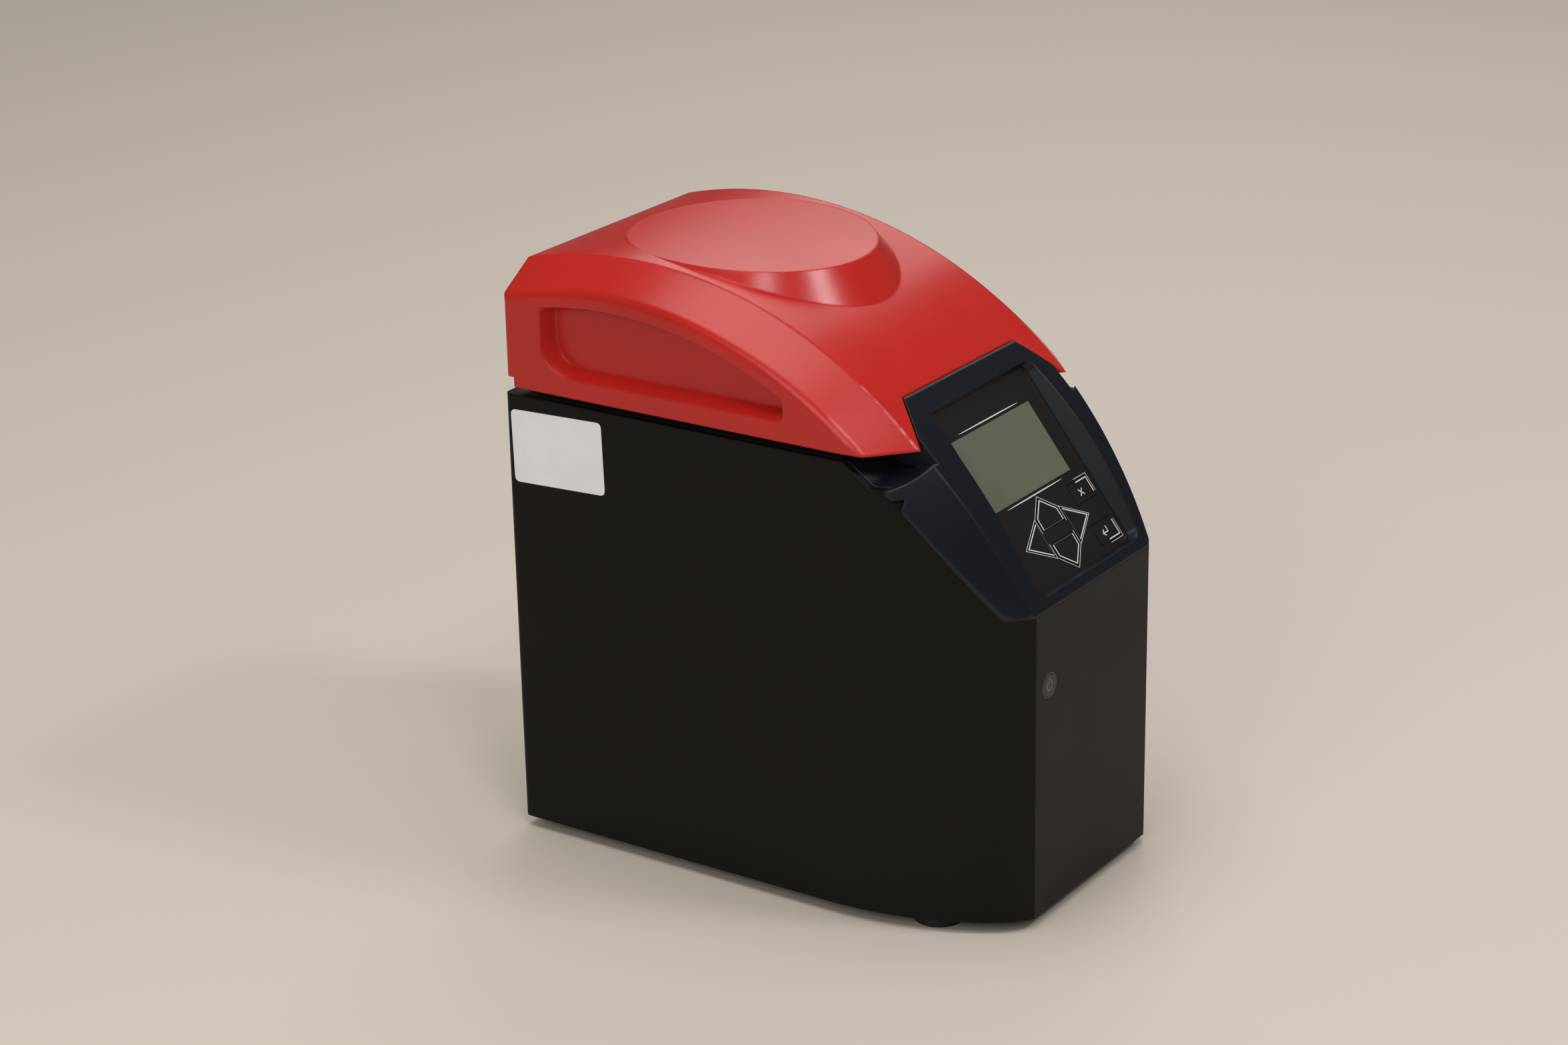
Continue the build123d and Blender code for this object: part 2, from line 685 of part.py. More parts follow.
def make_housing():
    outer = body_envelope(0, CONSOLE_LIP + CONSOLE_SEAT_GAP)
    ring = plan_prism(0, HOUSING_BOTTOM_Z, SEAM_Z) - plan_prism(WALL, 0, BIG)
    shell = outer & ring
    for x, y in corner_places():
        side = 1 if x > 0 else -1
        boss = rod_z(BOSS_RADIUS, x, y, BASE_HIGH_Z, BASE_HIGH_Z + BOSS_HEIGHT)
        ends = sorted((x, side * (HALF_WIDTH - WALL / 2)))
        rib = block(ends, (y - RIB_HALF, y + RIB_HALF), (BASE_HIGH_Z, BASE_HIGH_Z + BOSS_HEIGHT))
        shell = shell + boss + (rib & plan_prism(WALL / 2, 0, BIG))
        shell = shell - rod_z(SCREW_RADIUS + RUN_GAP, x, y, 0, BASE_HIGH_Z + BOSS_HEIGHT - 1)
    ledge_z = SEAM_Z - DECK_THICK
    ledge = plan_prism(WALL, ledge_z - LEDGE_WIDTH, ledge_z) - plan_prism(WALL + LEDGE_WIDTH, 0, BIG)
    ledge = ledge & block((-BIG, BIG), (LEDGE_FRONT_Y, BIG), (0, BIG))
    shell = shell + ledge
    shell = shell - rear_window() - SCOOPS
    through = (FRONT_Y - 1, FRONT_Y + WALL + 1)
    shell = shell - rod_y(BUTTON_RING_RADIUS + BUTTON_GAP, BUTTON_X, BUTTON_Z, *through)
    for x in (-HINGE_X, HINGE_X):
        slot_x = (x - HINGE_SLOT_HALF, x + HINGE_SLOT_HALF)
        shell = shell - block(slot_x, (HINGE_SLOT_FRONT_Y, REAR_Y + 1), (HINGE_Z - 4, BIG))
    return shell


def make_base_plate():
    plate = plan_prism(BASE_INSET, BASE_LOW_Z, BASE_HIGH_Z)
    for x, y in corner_places():
        plate = plate - rod_z(SCREW_RADIUS + SCREW_CLEAR, x, y, 0, 20)
    for x in (-TAB_X, TAB_X):
        y = (BOARD_FRONT_Y - TAB_THICK, BOARD_FRONT_Y)
        plate = plate + block((x - TAB_HALF, x + TAB_HALF), y, (BASE_HIGH_Z - 0.5, TAB_HIGH_Z))
    return plate


def make_feet():
    foot = rod_z(FOOT_RADIUS, 0, 0, 0, FOOT_HEIGHT)
    foot = foot - rod_z(SCREW_HEAD_RADIUS + 0.6, 0, 0, -1, SCREW_HEAD_HIGH_Z)
    foot = foot - rod_z(SCREW_RADIUS + SCREW_CLEAR, 0, 0, 0, FOOT_HEIGHT + 1)
    return Compound(children=[Pos(x, y, 0) * foot for x, y in corner_places()])


def make_base_screws():
    head = rod_z(SCREW_HEAD_RADIUS, 0, 0, SCREW_HEAD_LOW_Z, SCREW_HEAD_HIGH_Z)
    tip = BASE_HIGH_Z + BOSS_HEIGHT - SCREW_TIP_SHORT
    screw = head + rod_z(SCREW_RADIUS, 0, 0, SCREW_HEAD_LOW_Z + 1, tip)
    return Compound(children=[Pos(x, y, 0) * screw for x, y in corner_places()])


def make_deck():
    deck = plan_prism(WALL + CONSOLE_SEAT_GAP, SEAM_Z - DECK_THICK, SEAM_Z)
    deck = deck & block((-BIG, BIG), (DECK_FRONT_Y, BIG), (0, BIG))
    ear_clear = block((EAR_X - CONSOLE_SEAT_GAP, BIG), (-BIG, EAR_REAR_Y + CONSOLE_SEAT_GAP), (0, BIG))
    deck = deck - ear_clear - mirror_x(ear_clear)
    deck = deck - rod_z(BOWL_RADIUS + BOWL_WALL + FIT_GAP, 0, AXIS_Y, 0, BIG)
    slot = STRIKER_HALF + STRIKER_ROOM
    deck = deck - block((-slot, slot), (LOCK_Y - STRIKER_REACH - 1, LOCK_Y + STRIKER_REACH + 1), (0, BIG))
    for x in (-HINGE_X, HINGE_X):
        side = HINGE_SLOT_HALF + CONSOLE_SEAT_GAP
        deck = deck - block((x - side, x + side), (HINGE_SLOT_FRONT_Y - CONSOLE_SEAT_GAP, BIG), (0, BIG))
    return deck


# Chamber
def revolved(points):
    """Solid of revolution about the chamber axis from (radius, z) points."""
    face = Plane.XZ * polygon(points)
    return Pos(0, AXIS_Y, 0) * revolve(face, Axis.Z)


def make_bowl():
    r, w, f = BOWL_RADIUS, BOWL_WALL, BOWL_FLOOR_Z
    top = SEAM_Z + BOWL_FLANGE_THICK
    c, cw = COLLAR_RADIUS, COLLAR_WALL
    foot = BOWL_CHAMFER
    return revolved([
        (c, f - w), (r - foot + 1, f - w), (r + w, f + foot - 1), (r + w, SEAM_Z),
        (r + w + BOWL_FLANGE, SEAM_Z), (r + w + BOWL_FLANGE, top), (r, top), (r, f + foot),
        (r - foot, f), (c + cw, f), (c + cw, f + COLLAR_HEIGHT), (c, f + COLLAR_HEIGHT),
    ])


def make_gasket():
    low = SEAM_Z + BOWL_FLANGE_THICK
    high = low + GASKET_HEIGHT
    r0, r1 = BOWL_RADIUS + GASKET_INSET, BOWL_RADIUS + GASKET_INSET + GASKET_WIDTH
    step = low + GASKET_STEP
    return revolved([(r0, low), (r1, low), (r1, step), (r1 - 1, high), (r0 + 1, high), (r0, step)])


# Sample holder
def tube_places():
    r = TUBE_CIRCLE_RADIUS
    turns = [2 * pi * i / TUBE_COUNT for i in range(TUBE_COUNT)]
    return [(r * cos(a), AXIS_Y + r * sin(a)) for a in turns]


def make_holder():
    low, high = HOLDER_LOW_Z, HOLDER_LOW_Z + HOLDER_THICK
    r, c = HOLDER_RADIUS, HOLDER_CHAMFER
    bore, boss = STUD_RADIUS + STUD_GAP, HOLDER_BOSS_RADIUS
    top = high + HOLDER_BOSS_HEIGHT
    plate = revolved([
        (bore, low), (r - c, low), (r, low + c), (r, high - c), (r - c, high), (boss, high), (boss, top),
        (bore, top),
    ])
    for x, y in tube_places():
        plate = plate - rod_z(TUBE_BORE_RADIUS, x, y, low - 1, high + 1)
    return plate


CLAMP_LOW_Z = HOLDER_LOW_Z + HOLDER_THICK + HOLDER_BOSS_HEIGHT
KNOB_LOW_Z = CLAMP_LOW_Z + CLAMP_THICK


def make_clamp():
    low, high = CLAMP_LOW_Z, KNOB_LOW_Z
    rim = CLAMP_RADIUS - CLAMP_RIM
    dish = high - CLAMP_DISH
    bore = STUD_RADIUS + STUD_GAP
    return revolved([
        (bore, low), (CLAMP_RADIUS, low), (CLAMP_RADIUS, high), (rim, high), (rim - 1.5, dish),
        (KNOB_RADIUS + 4, dish), (KNOB_RADIUS + 2, high), (bore, high),
    ])


def make_knob():
    low, high = KNOB_LOW_Z, KNOB_LOW_Z + KNOB_HEIGHT
    r, c = KNOB_RADIUS, KNOB_CHAMFER
    knob = revolved([(0, low), (0.7 * r, low), (r, low + 3), (r, high - c), (r - c, high), (0, high)])
    reach = r + KNOB_LOBE_RADIUS / 2
    for i in range(KNOB_LOBES):
        a = 2 * pi * i / KNOB_LOBES
        knob = knob - rod_z(KNOB_LOBE_RADIUS, reach * cos(a), AXIS_Y + reach * sin(a), low, high)
    return knob - rod_z(STUD_RADIUS + RUN_GAP, 0, AXIS_Y, low - 1, low + KNOB_THREAD_DEPTH)


def make_hub():
    """Hub under the holder, with a skirt that hangs over the bowl's collar."""
    r, low = HUB_RADIUS, HUB_LOW_Z - SKIRT_DROP
    return revolved([
        (SHAFT_RADIUS, HUB_LOW_Z), (r - SKIRT_WALL, HUB_LOW_Z), (r - SKIRT_WALL, low), (r, low),
        (r, HOLDER_LOW_Z), (SHAFT_RADIUS, HOLDER_LOW_Z),
    ])


# Drive
WRIST_Z = CRANK_Z - CRANK_THROW + ROD_LENGTH
CRANK_PIN_Z = CRANK_Z - CRANK_THROW
ROD_FRONT_Y = AXIS_Y - ROD_THICK / 2
ROD_REAR_Y = AXIS_Y + ROD_THICK / 2
DISC_FRONT_Y = ROD_REAR_Y + CRANK_GAP
DISC_REAR_Y = DISC_FRONT_Y + DISC_THICK
STAND_FRONT_Y = DISC_REAR_Y + DISC_STAND_GAP
STAND_REAR_Y = STAND_FRONT_Y + STAND_THICK
MOTOR_REAR_Y = STAND_REAR_Y + MOTOR_LENGTH
FORK_TOP_Z = WRIST_Z + ROD_SMALL_RADIUS + FORK_ROOM
GUIDE_LOW_Z = FORK_TOP_Z + FORK_CAP + 2 * CRANK_THROW + GUIDE_CLEAR


def make_crank_disc():
    disc = rod_y(DISC_RADIUS, 0, CRANK_Z, DISC_FRONT_Y, DISC_REAR_Y)
    disc = disc - rod_y(MOTOR_SHAFT_RADIUS, 0, CRANK_Z, DISC_FRONT_Y - 1, DISC_REAR_Y + 1)
    for side in (-1, 1):
        z = CRANK_Z - DISC_HOLE_DROP
        disc = disc - rod_y(DISC_HOLE_RADIUS, side * DISC_HOLE_X, z, DISC_FRONT_Y - 1, DISC_REAR_Y + 1)
    return disc


def make_rod():
    big = rod_y(ROD_BIG_RADIUS, 0, CRANK_PIN_Z, ROD_FRONT_Y, ROD_REAR_Y)
    small = rod_y(ROD_SMALL_RADIUS, 0, WRIST_Z, ROD_FRONT_Y, ROD_REAR_Y)
    web_z = (CRANK_PIN_Z + PIN_RADIUS + 1, WRIST_Z - WRIST_RADIUS - 1)
    web = block((-ROD_WEB_HALF, ROD_WEB_HALF), (ROD_FRONT_Y + 1, ROD_REAR_Y - 1), web_z)
    rod = big + small + web
    rod = rod - rod_y(CRANK_BEARING_RADIUS, 0, CRANK_PIN_Z, 0, BIG)
    return rod - rod_y(WRIST_RADIUS + RUN_GAP, 0, WRIST_Z, 0, BIG)


def make_crank_bearing():
    ring = rod_y(CRANK_BEARING_RADIUS, 0, CRANK_PIN_Z, ROD_FRONT_Y, ROD_REAR_Y)
    return ring - rod_y(PIN_RADIUS, 0, CRANK_PIN_Z, 0, BIG)


def make_crank_pin():
    head = rod_y(PIN_RADIUS + PIN_HEAD, 0, CRANK_PIN_Z, ROD_FRONT_Y - PIN_HEAD, ROD_FRONT_Y)
    return head + rod_y(PIN_RADIUS, 0, CRANK_PIN_Z, ROD_FRONT_Y, DISC_FRONT_Y - FIT_GAP)


def make_wrist_pin():
    reach = FIT_GAP + FORK_WALL
    return rod_y(WRIST_RADIUS, 0, WRIST_Z, ROD_FRONT_Y - reach, ROD_REAR_Y + reach)


def make_fork():
    half = ROD_THICK / 2 + FIT_GAP
    y = (AXIS_Y - half - FORK_WALL, AXIS_Y + half + FORK_WALL)
    body = rod_y(FORK_HALF, 0, WRIST_Z, *y)
    body = body + block((-FORK_HALF, FORK_HALF), y, (WRIST_Z, FORK_TOP_Z + FORK_CAP))
    slot = block((-BIG, BIG), (AXIS_Y - half, AXIS_Y + half), (0, FORK_TOP_Z - FORK_CAP))
    bore = rod_z(SHAFT_RADIUS, 0, AXIS_Y, FORK_TOP_Z - 1, BIG)
    return body - slot - rod_y(WRIST_RADIUS, 0, WRIST_Z, 0, BIG) - bore


def make_carriage_shaft():
    shaft = rod_z(SHAFT_RADIUS, 0, AXIS_Y, FORK_TOP_Z - 1, HOLDER_LOW_Z)
    stud = rod_z(STUD_RADIUS, 0, AXIS_Y, HOLDER_LOW_Z, KNOB_LOW_Z + STUD_REACH)
    return shaft + stud


def make_bushings():
    ring = rod_z(BUSH_RADIUS, 0, AXIS_Y, 0, BUSH_LENGTH)
    ring = ring - rod_z(SHAFT_RADIUS + RUN_GAP, 0, AXIS_Y, -1, BIG)
    low = Pos(0, 0, GUIDE_LOW_Z) * ring
    high = Pos(0, 0, GUIDE_HIGH_Z - BUSH_LENGTH) * ring
    return Compound(children=[low, high])


def make_drive_frame():
    slab = block((-SLAB_HALF, SLAB_HALF), (SLAB_FRONT_Y, SLAB_REAR_Y), (SLAB_LOW_Z, SLAB_HIGH_Z))
    y = (STAND_FRONT_Y, STAND_REAR_Y)
    stand_top = CRANK_Z + STAND_RISE
    stand = block((-STAND_HALF, STAND_HALF), y, (SLAB_HIGH_Z, stand_top))
    column = block((-COLUMN_HALF, COLUMN_HALF), y, (stand_top, GUIDE_HIGH_Z))
    arm = block((-GUIDE_RADIUS, GUIDE_RADIUS), (AXIS_Y, STAND_REAR_Y), (GUIDE_LOW_Z, GUIDE_HIGH_Z))
    guide = rod_z(GUIDE_RADIUS, 0, AXIS_Y, GUIDE_LOW_Z, GUIDE_HIGH_Z)
    frame = slab + stand + column + arm + guide
    frame = frame - rod_z(BUSH_RADIUS, 0, AXIS_Y, GUIDE_LOW_Z - 1, GUIDE_HIGH_Z + 1)
    return frame - rod_y(BEARING_RADIUS, 0, CRANK_Z, STAND_FRONT_Y - 1, STAND_REAR_Y + 1)


def mount_places():
    return [(x, y) for x in (-MOUNT_X, MOUNT_X) for y in (MOUNT_FRONT_Y, MOUNT_REAR_Y)]


def make_isolators():
    ring = rod_z(MOUNT_RADIUS, 0, 0, BASE_HIGH_Z, SLAB_LOW_Z)
    return Compound(children=[Pos(x, y, 0) * ring for x, y in mount_places()])


def bearing(outer, y0, y1):
    bore = rod_y(MOTOR_SHAFT_RADIUS + RUN_GAP, 0, CRANK_Z, y0 - 1, y1 + 1)
    return rod_y(outer, 0, CRANK_Z, y0, y1) - bore


REAR_BEARING_Y = MOTOR_REAR_Y - REAR_BEARING_WIDTH


def make_bearings():
    front = bearing(BEARING_RADIUS, STAND_FRONT_Y + 1, STAND_FRONT_Y + 1 + BEARING_WIDTH)
    rear = bearing(REAR_BEARING_RADIUS, REAR_BEARING_Y, MOTOR_REAR_Y)
    return Compound(children=[front, rear])


def make_motor_housing():
    can = rod_y(MOTOR_RADIUS, 0, CRANK_Z, STAND_REAR_Y, MOTOR_REAR_Y)
    hollow = rod_y(MOTOR_RADIUS - MOTOR_WALL, 0, CRANK_Z, STAND_REAR_Y - 1, REAR_BEARING_Y)
    seat = rod_y(REAR_BEARING_RADIUS, 0, CRANK_Z, STAND_REAR_Y, MOTOR_REAR_Y + 1)
    return can - hollow - seat


def make_rotor():
    shaft = rod_y(MOTOR_SHAFT_RADIUS, 0, CRANK_Z, DISC_FRONT_Y, MOTOR_REAR_Y - 1)
    radius = MOTOR_RADIUS - MOTOR_WALL - ROTOR_GAP
    return shaft + rod_y(radius, 0, CRANK_Z, STAND_REAR_Y + 2, REAR_BEARING_Y - 2)


# Rear panel, inlet and fan
PANEL_Y = REAR_Y - WALL
FLANGE_Y = PANEL_Y + INLET_FLANGE


def make_rear_panel():
    panel = block((-PANEL_HALF, PANEL_HALF), (PANEL_Y - PANEL_THICK, PANEL_Y), (PANEL_LOW_Z, PANEL_HIGH_Z))
    through = (PANEL_Y - 2 * PANEL_THICK, PANEL_Y + PANEL_THICK)
    half = INLET_HALF - INLET_HOLE_INSET
    hole_z = (INLET_LOW_Z + INLET_HOLE_INSET, INLET_HIGH_Z - INLET_HOLE_INSET)
    panel = panel - block((INLET_X - half, INLET_X + half), through, hole_z)
    for i in range(-3, 4):
        x = FAN_SLOT_STEP * i
        half = sqrt(FAN_HOLE_RADIUS ** 2 - x ** 2)
        slot_x = (FAN_X + x - VENT_HALF, FAN_X + x + VENT_HALF)
        panel = panel - block(slot_x, through, (FAN_Z - half, FAN_Z + half))
    for i in range(VENT_COUNT):
        x = VENT_STEP * (i - (VENT_COUNT - 1) / 2)
        vent_x = (x - VENT_HALF, x + VENT_HALF)
        panel = panel - block(vent_x, through, (VENT_LOW_Z, VENT_HIGH_Z))
    return panel


def make_panel_screws():
    screws = []
    side = PANEL_HALF - PANEL_SCREW_INSET
    high_y = PANEL_Y - PANEL_THICK
    for x in (-side, side):
        for z in (PANEL_LOW_Z + PANEL_SCREW_INSET, PANEL_HIGH_Z - PANEL_SCREW_INSET):
            screws.append(rod_y(PANEL_SCREW_RADIUS, x, z, high_y - PANEL_SCREW_HEIGHT, high_y))
    return Compound(children=screws)


def make_inlet():
    x = (INLET_X - INLET_HALF, INLET_X + INLET_HALF)
    flange = block(x, (PANEL_Y, FLANGE_Y), (INLET_LOW_Z, INLET_HIGH_Z))
    body_z = (INLET_LOW_Z + INLET_LIP, INLET_HIGH_Z - INLET_LIP)
    body = block((x[0] + INLET_LIP, x[1] - INLET_LIP), (PANEL_Y - INLET_DEPTH, PANEL_Y), body_z)
    module = flange + body
    sx, sz = SOCKET_HALF_X, SOCKET_HALF_Z
    c = SOCKET_CORNER
    profile = [(-sx, -sz), (sx, -sz), (sx, sz - c), (sx - c, sz), (c - sx, sz), (-sx, sz - c)]
    socket = Plane.XZ.offset(-FLANGE_Y) * (Pos(INLET_X, SOCKET_Z) * polygon(profile))
    module = module - extrude(socket, amount=SOCKET_DEPTH)
    fuse_x = (INLET_X - FUSE_HALF_X - FIT_GAP, INLET_X + FUSE_HALF_X + FIT_GAP)
    fuse_z = (FUSE_Z - FUSE_HALF_Z - FIT_GAP, FUSE_Z + FUSE_HALF_Z + FIT_GAP)
    module = module - block(fuse_x, (FLANGE_Y - FUSE_DEPTH - 0.5, FLANGE_Y + 1), fuse_z)
    rocker_x = (INLET_X - ROCKER_HALF_X - FIT_GAP, INLET_X + ROCKER_HALF_X + FIT_GAP)
    rocker_z = (ROCKER_Z - ROCKER_HALF_Z - ROCKER_ROOM, ROCKER_Z + ROCKER_HALF_Z + ROCKER_ROOM)
    return module - block(rocker_x, (FLANGE_Y - ROCKER_WELL_DEPTH, FLANGE_Y + 1), rocker_z)


def make_inlet_pins():
    floor = FLANGE_Y - SOCKET_DEPTH
    pins = []
    for dx, dz in ((0, EARTH_PIN_RISE), (-PIN_SPREAD, -LIVE_PIN_DROP), (PIN_SPREAD, -LIVE_PIN_DROP)):
        x, z = INLET_X + dx, SOCKET_Z + dz
        blade_x, blade_z = (x - PIN_HALF_X, x + PIN_HALF_X), (z - PIN_HALF_Z, z + PIN_HALF_Z)
        pins.append(block(blade_x, (floor, floor + PIN_LENGTH), blade_z))
    return Compound(children=pins)


def make_fuse_drawer():
    x, low_z = INLET_X, FUSE_Z - FUSE_HALF_Z
    body_x = (x - FUSE_HALF_X, x + FUSE_HALF_X)
    body = block(body_x, (FLANGE_Y - FUSE_DEPTH, FLANGE_Y), (low_z, FUSE_Z + FUSE_HALF_Z))
    grip_y = (FLANGE_Y - FUSE_GRIP_DEPTH, FLANGE_Y + 1)
    grip_z = (low_z - 1, low_z + FUSE_GRIP_DEPTH)
    return body - block((x - FUSE_GRIP_HALF, x + FUSE_GRIP_HALF), grip_y, grip_z)


ROCKER_AXIS_Y = FLANGE_Y - ROCKER_PIVOT_DEPTH


def make_rocker():
    """Rocker at rest in its off position, tipped about the pivot."""
    half, reach = ROCKER_HALF_Z - 0.9, ROCKER_REACH
    points = [(-4.5, -3.0), (4.5, -3.0), (half, reach - 1.3), (0, reach - 2.2), (-half, reach - 1.3)]
    face = polygon([(y, z) for z, y in points])
    body = extrude(face, amount=ROCKER_HALF_X, both=True)
    body = Plane.YZ * body
    pivot = Rot(0, 90, 0) * Cylinder(1.2, 2 * ROCKER_HALF_X + 0.4)
    return Pos(INLET_X, ROCKER_AXIS_Y, ROCKER_Z) * (Rot(ROCKER_TILT_DEG, 0, 0) * body + pivot)


FAN_REAR_Y = PANEL_Y - PANEL_THICK
FAN_FRONT_Y = FAN_REAR_Y - FAN_DEPTH


def make_fan_frame():
    half = FAN_SIZE / 2
    frame = block((FAN_X - half, FAN_X + half), (FAN_FRONT_Y, FAN_REAR_Y), (FAN_Z - half, FAN_Z + half))
    frame = frame - rod_y(FAN_HOLE_RADIUS, FAN_X, FAN_Z, FAN_FRONT_Y - 1, FAN_REAR_Y + 1)
    y = (FAN_FRONT_Y, FAN_FRONT_Y + FAN_SPOKE_THICK)
    reach, arm = half - 1, FAN_SPOKE_HALF
    upright = block((FAN_X - arm, FAN_X + arm), y, (FAN_Z - reach, FAN_Z + reach))
    level = block((FAN_X - reach, FAN_X + reach), y, (FAN_Z - arm, FAN_Z + arm))
    plate = rod_y(FAN_HUB_RADIUS, FAN_X, FAN_Z, *y)
    pin = rod_y(FAN_PIN_RADIUS, FAN_X, FAN_Z, y[1], FAN_REAR_Y - 4)
    return frame + upright + level + plate + pin


def make_fan_rotor():
    rotor = rod_y(FAN_HUB_RADIUS, 0, 0, FAN_SPOKE_THICK + 0.6, FAN_DEPTH - 1.5)
    place = Pos(0, FAN_BLADE_WIDTH / 2 + 3, FAN_HUB_RADIUS - 0.5 + FAN_BLADE_LENGTH / 2)
    blade = place * Rot(0, 0, FAN_BLADE_DEG) * Box(FAN_BLADE_THICK, FAN_BLADE_WIDTH, FAN_BLADE_LENGTH)
    for i in range(FAN_BLADES):
        rotor = rotor + Rot(0, i * 360 / FAN_BLADES, 0) * blade
    rotor = rotor - rod_y(FAN_PIN_RADIUS + RUN_GAP, 0, 0, 0, FAN_DEPTH - 3.4)
    return Pos(FAN_X, FAN_FRONT_Y, FAN_Z) * rotor


# Electronics
def make_controller_board():
    face = BOARD_FRONT_Y + BOARD_THICK
    board = block((-BOARD_HALF, BOARD_HALF), (BOARD_FRONT_Y, face), (BOARD_LOW_Z, BOARD_HIGH_Z))
    low = face - BOARD_THICK / 2
    board = board + block(PROCESSOR_X, (low, face + PROCESSOR_HEIGHT), PROCESSOR_Z)
    board = board + block(RELAY_X, (low, face + RELAY_HEIGHT), RELAY_Z)
    board = board + block(SOCKET_BLOCK_X, (low, face + SOCKET_BLOCK_HEIGHT), SOCKET_BLOCK_Z)
    for x in CAPACITOR_X:
        board = board + rod_y(CAPACITOR_RADIUS, x, CAPACITOR_Z, low, face + CAPACITOR_HEIGHT)
    return board


def make_power_supply():
    low, face = SUPPLY_LOW_Z, SUPPLY_LOW_Z + BOARD_THICK
    board = block((-SUPPLY_HALF, SUPPLY_HALF), (SUPPLY_FRONT_Y, SUPPLY_REAR_Y), (low, face))
    side = SUPPLY_HALF - POST_INSET
    for x in (-side, side):
        for y in (SUPPLY_FRONT_Y + POST_INSET, SUPPLY_REAR_Y - POST_INSET):
            board = board + rod_z(POST_RADIUS, x, y, BASE_HIGH_Z, face - BOARD_THICK / 2)
    base = face - BOARD_THICK / 2
    board = board + block(TRANSFORMER_X, TRANSFORMER_Y, (base, TRANSFORMER_HIGH_Z))
    board = board + block(HEAT_SINK_X, HEAT_SINK_Y, (base, HEAT_SINK_HIGH_Z))
    for y in RESERVOIR_Y:
        board = board + rod_z(RESERVOIR_RADIUS, RESERVOIR_X, y, base, RESERVOIR_HIGH_Z)
    return board


def make_power_button():
    rear = FRONT_Y + BUTTON_DEPTH
    cap = rod_y(BUTTON_RADIUS, BUTTON_X, BUTTON_Z, FRONT_Y, rear)
    return cap + rod_y(BUTTON_RADIUS + BUTTON_LIP, BUTTON_X, BUTTON_Z, rear - BUTTON_LIP_THICK, rear)


def make_button_ring():
    """Bezel of the power button, with the switch body behind the front wall."""
    rear = FRONT_Y + BUTTON_SWITCH_DEPTH
    lip_y = FRONT_Y + BUTTON_DEPTH - BUTTON_LIP_THICK
    body = rod_y(BUTTON_RING_RADIUS, BUTTON_X, BUTTON_Z, FRONT_Y, rear)
    body = body + rod_y(BUTTON_RING_RADIUS + 3, BUTTON_X, BUTTON_Z, FRONT_Y + WALL, rear)
    body = body - rod_y(BUTTON_RADIUS + BUTTON_GAP, BUTTON_X, BUTTON_Z, FRONT_Y - 1, lip_y)
    room_y = (lip_y - FIT_GAP, FRONT_Y + BUTTON_DEPTH + BUTTON_TRAVEL + BUTTON_GAP)
    return body - rod_y(BUTTON_RADIUS + BUTTON_LIP + BUTTON_GAP, BUTTON_X, BUTTON_Z, *room_y)


# Lid
def lid_plan(inset):
    """Plan area of the lid: behind the notch line, inside the side and rear faces."""
    plan = plan_prism(LID_SIDE_INSET + inset - LID_PLAN_EASE, 0, BIG)
    cove = block((-BIG, BIG), (LID_COVE_Y - inset, BIG), (0, LID_COVE_Z + inset))
    return plan - front_zone(-inset) - cove


def dome(inset):
    """Low cone on the lid. Its top is a faint arch that runs out into the lid's own arc at the rear."""
    flare = tan(radians(DOME_WALL_DEG))
    top_r = DOME_TOP_RADIUS - inset * flare - DOME_CAP * flare
    height = DOME_HEIGHT + DOME_CAP
    low_r = top_r + height * flare
    cone = Pos(0, 0, DOME_CAP - height / 2) * Cone(low_r, top_r, height)
    cone = Pos(0, DOME_Y, DOME_TOP_Z - inset) * Rot(DOME_TILT_DEG, 0, 0) * cone
    arch_z = LID_TOP_Z - DOME_CROWN_RADIUS
    return cone & rod_x(DOME_CROWN_RADIUS - inset, LID_CENTRE_Y, arch_z, -BIG, BIG)


def grip_sketch(grow):
    """Crescent outline of the grip recess, in (y, z)."""
    top = LID_RADIUS - GRIP_TOP_DROP + grow
    low = GRIP_LOW_Z - grow
    rear = GRIP_REAR_Y + grow
    front = GRIP_FRONT_Y - grow
    rear_z = LID_CENTRE_Z + sqrt(top ** 2 - (rear - LID_CENTRE_Y) ** 2)
    front_z = LID_CENTRE_Z + sqrt(top ** 2 - (front - LID_CENTRE_Y) ** 2)
    crown = (LID_CENTRE_Y, LID_CENTRE_Z + top)
    edges = [
        Line((front, low), (rear, low)),
        Line((rear, low), (rear, rear_z)),
        ThreePointArc((rear, rear_z), crown, (front, front_z)),
        Line((front, front_z), (front, low)),
    ]
    face = make_face(Curve() + edges)
    corner = face.vertices().sort_by_distance((rear, low))[0]
    face = fillet([corner], GRIP_CORNER + grow)
    corner = face.vertices().sort_by_distance((front, low))[0]
    return fillet([corner], GRIP_FRONT_CORNER)


def grip_cutter(grow):
    depth = GRIP_DEPTH + grow
    plane = Plane(origin=(HALF_WIDTH - LID_SIDE_INSET + 1, 0, 0), x_dir=(0, 1, 0), z_dir=(1, 0, 0))
    one = extrude(plane * grip_sketch(grow), amount=-(depth + 1), taper=GRIP_DRAFT_DEG)
    return one + mirror_x(one)


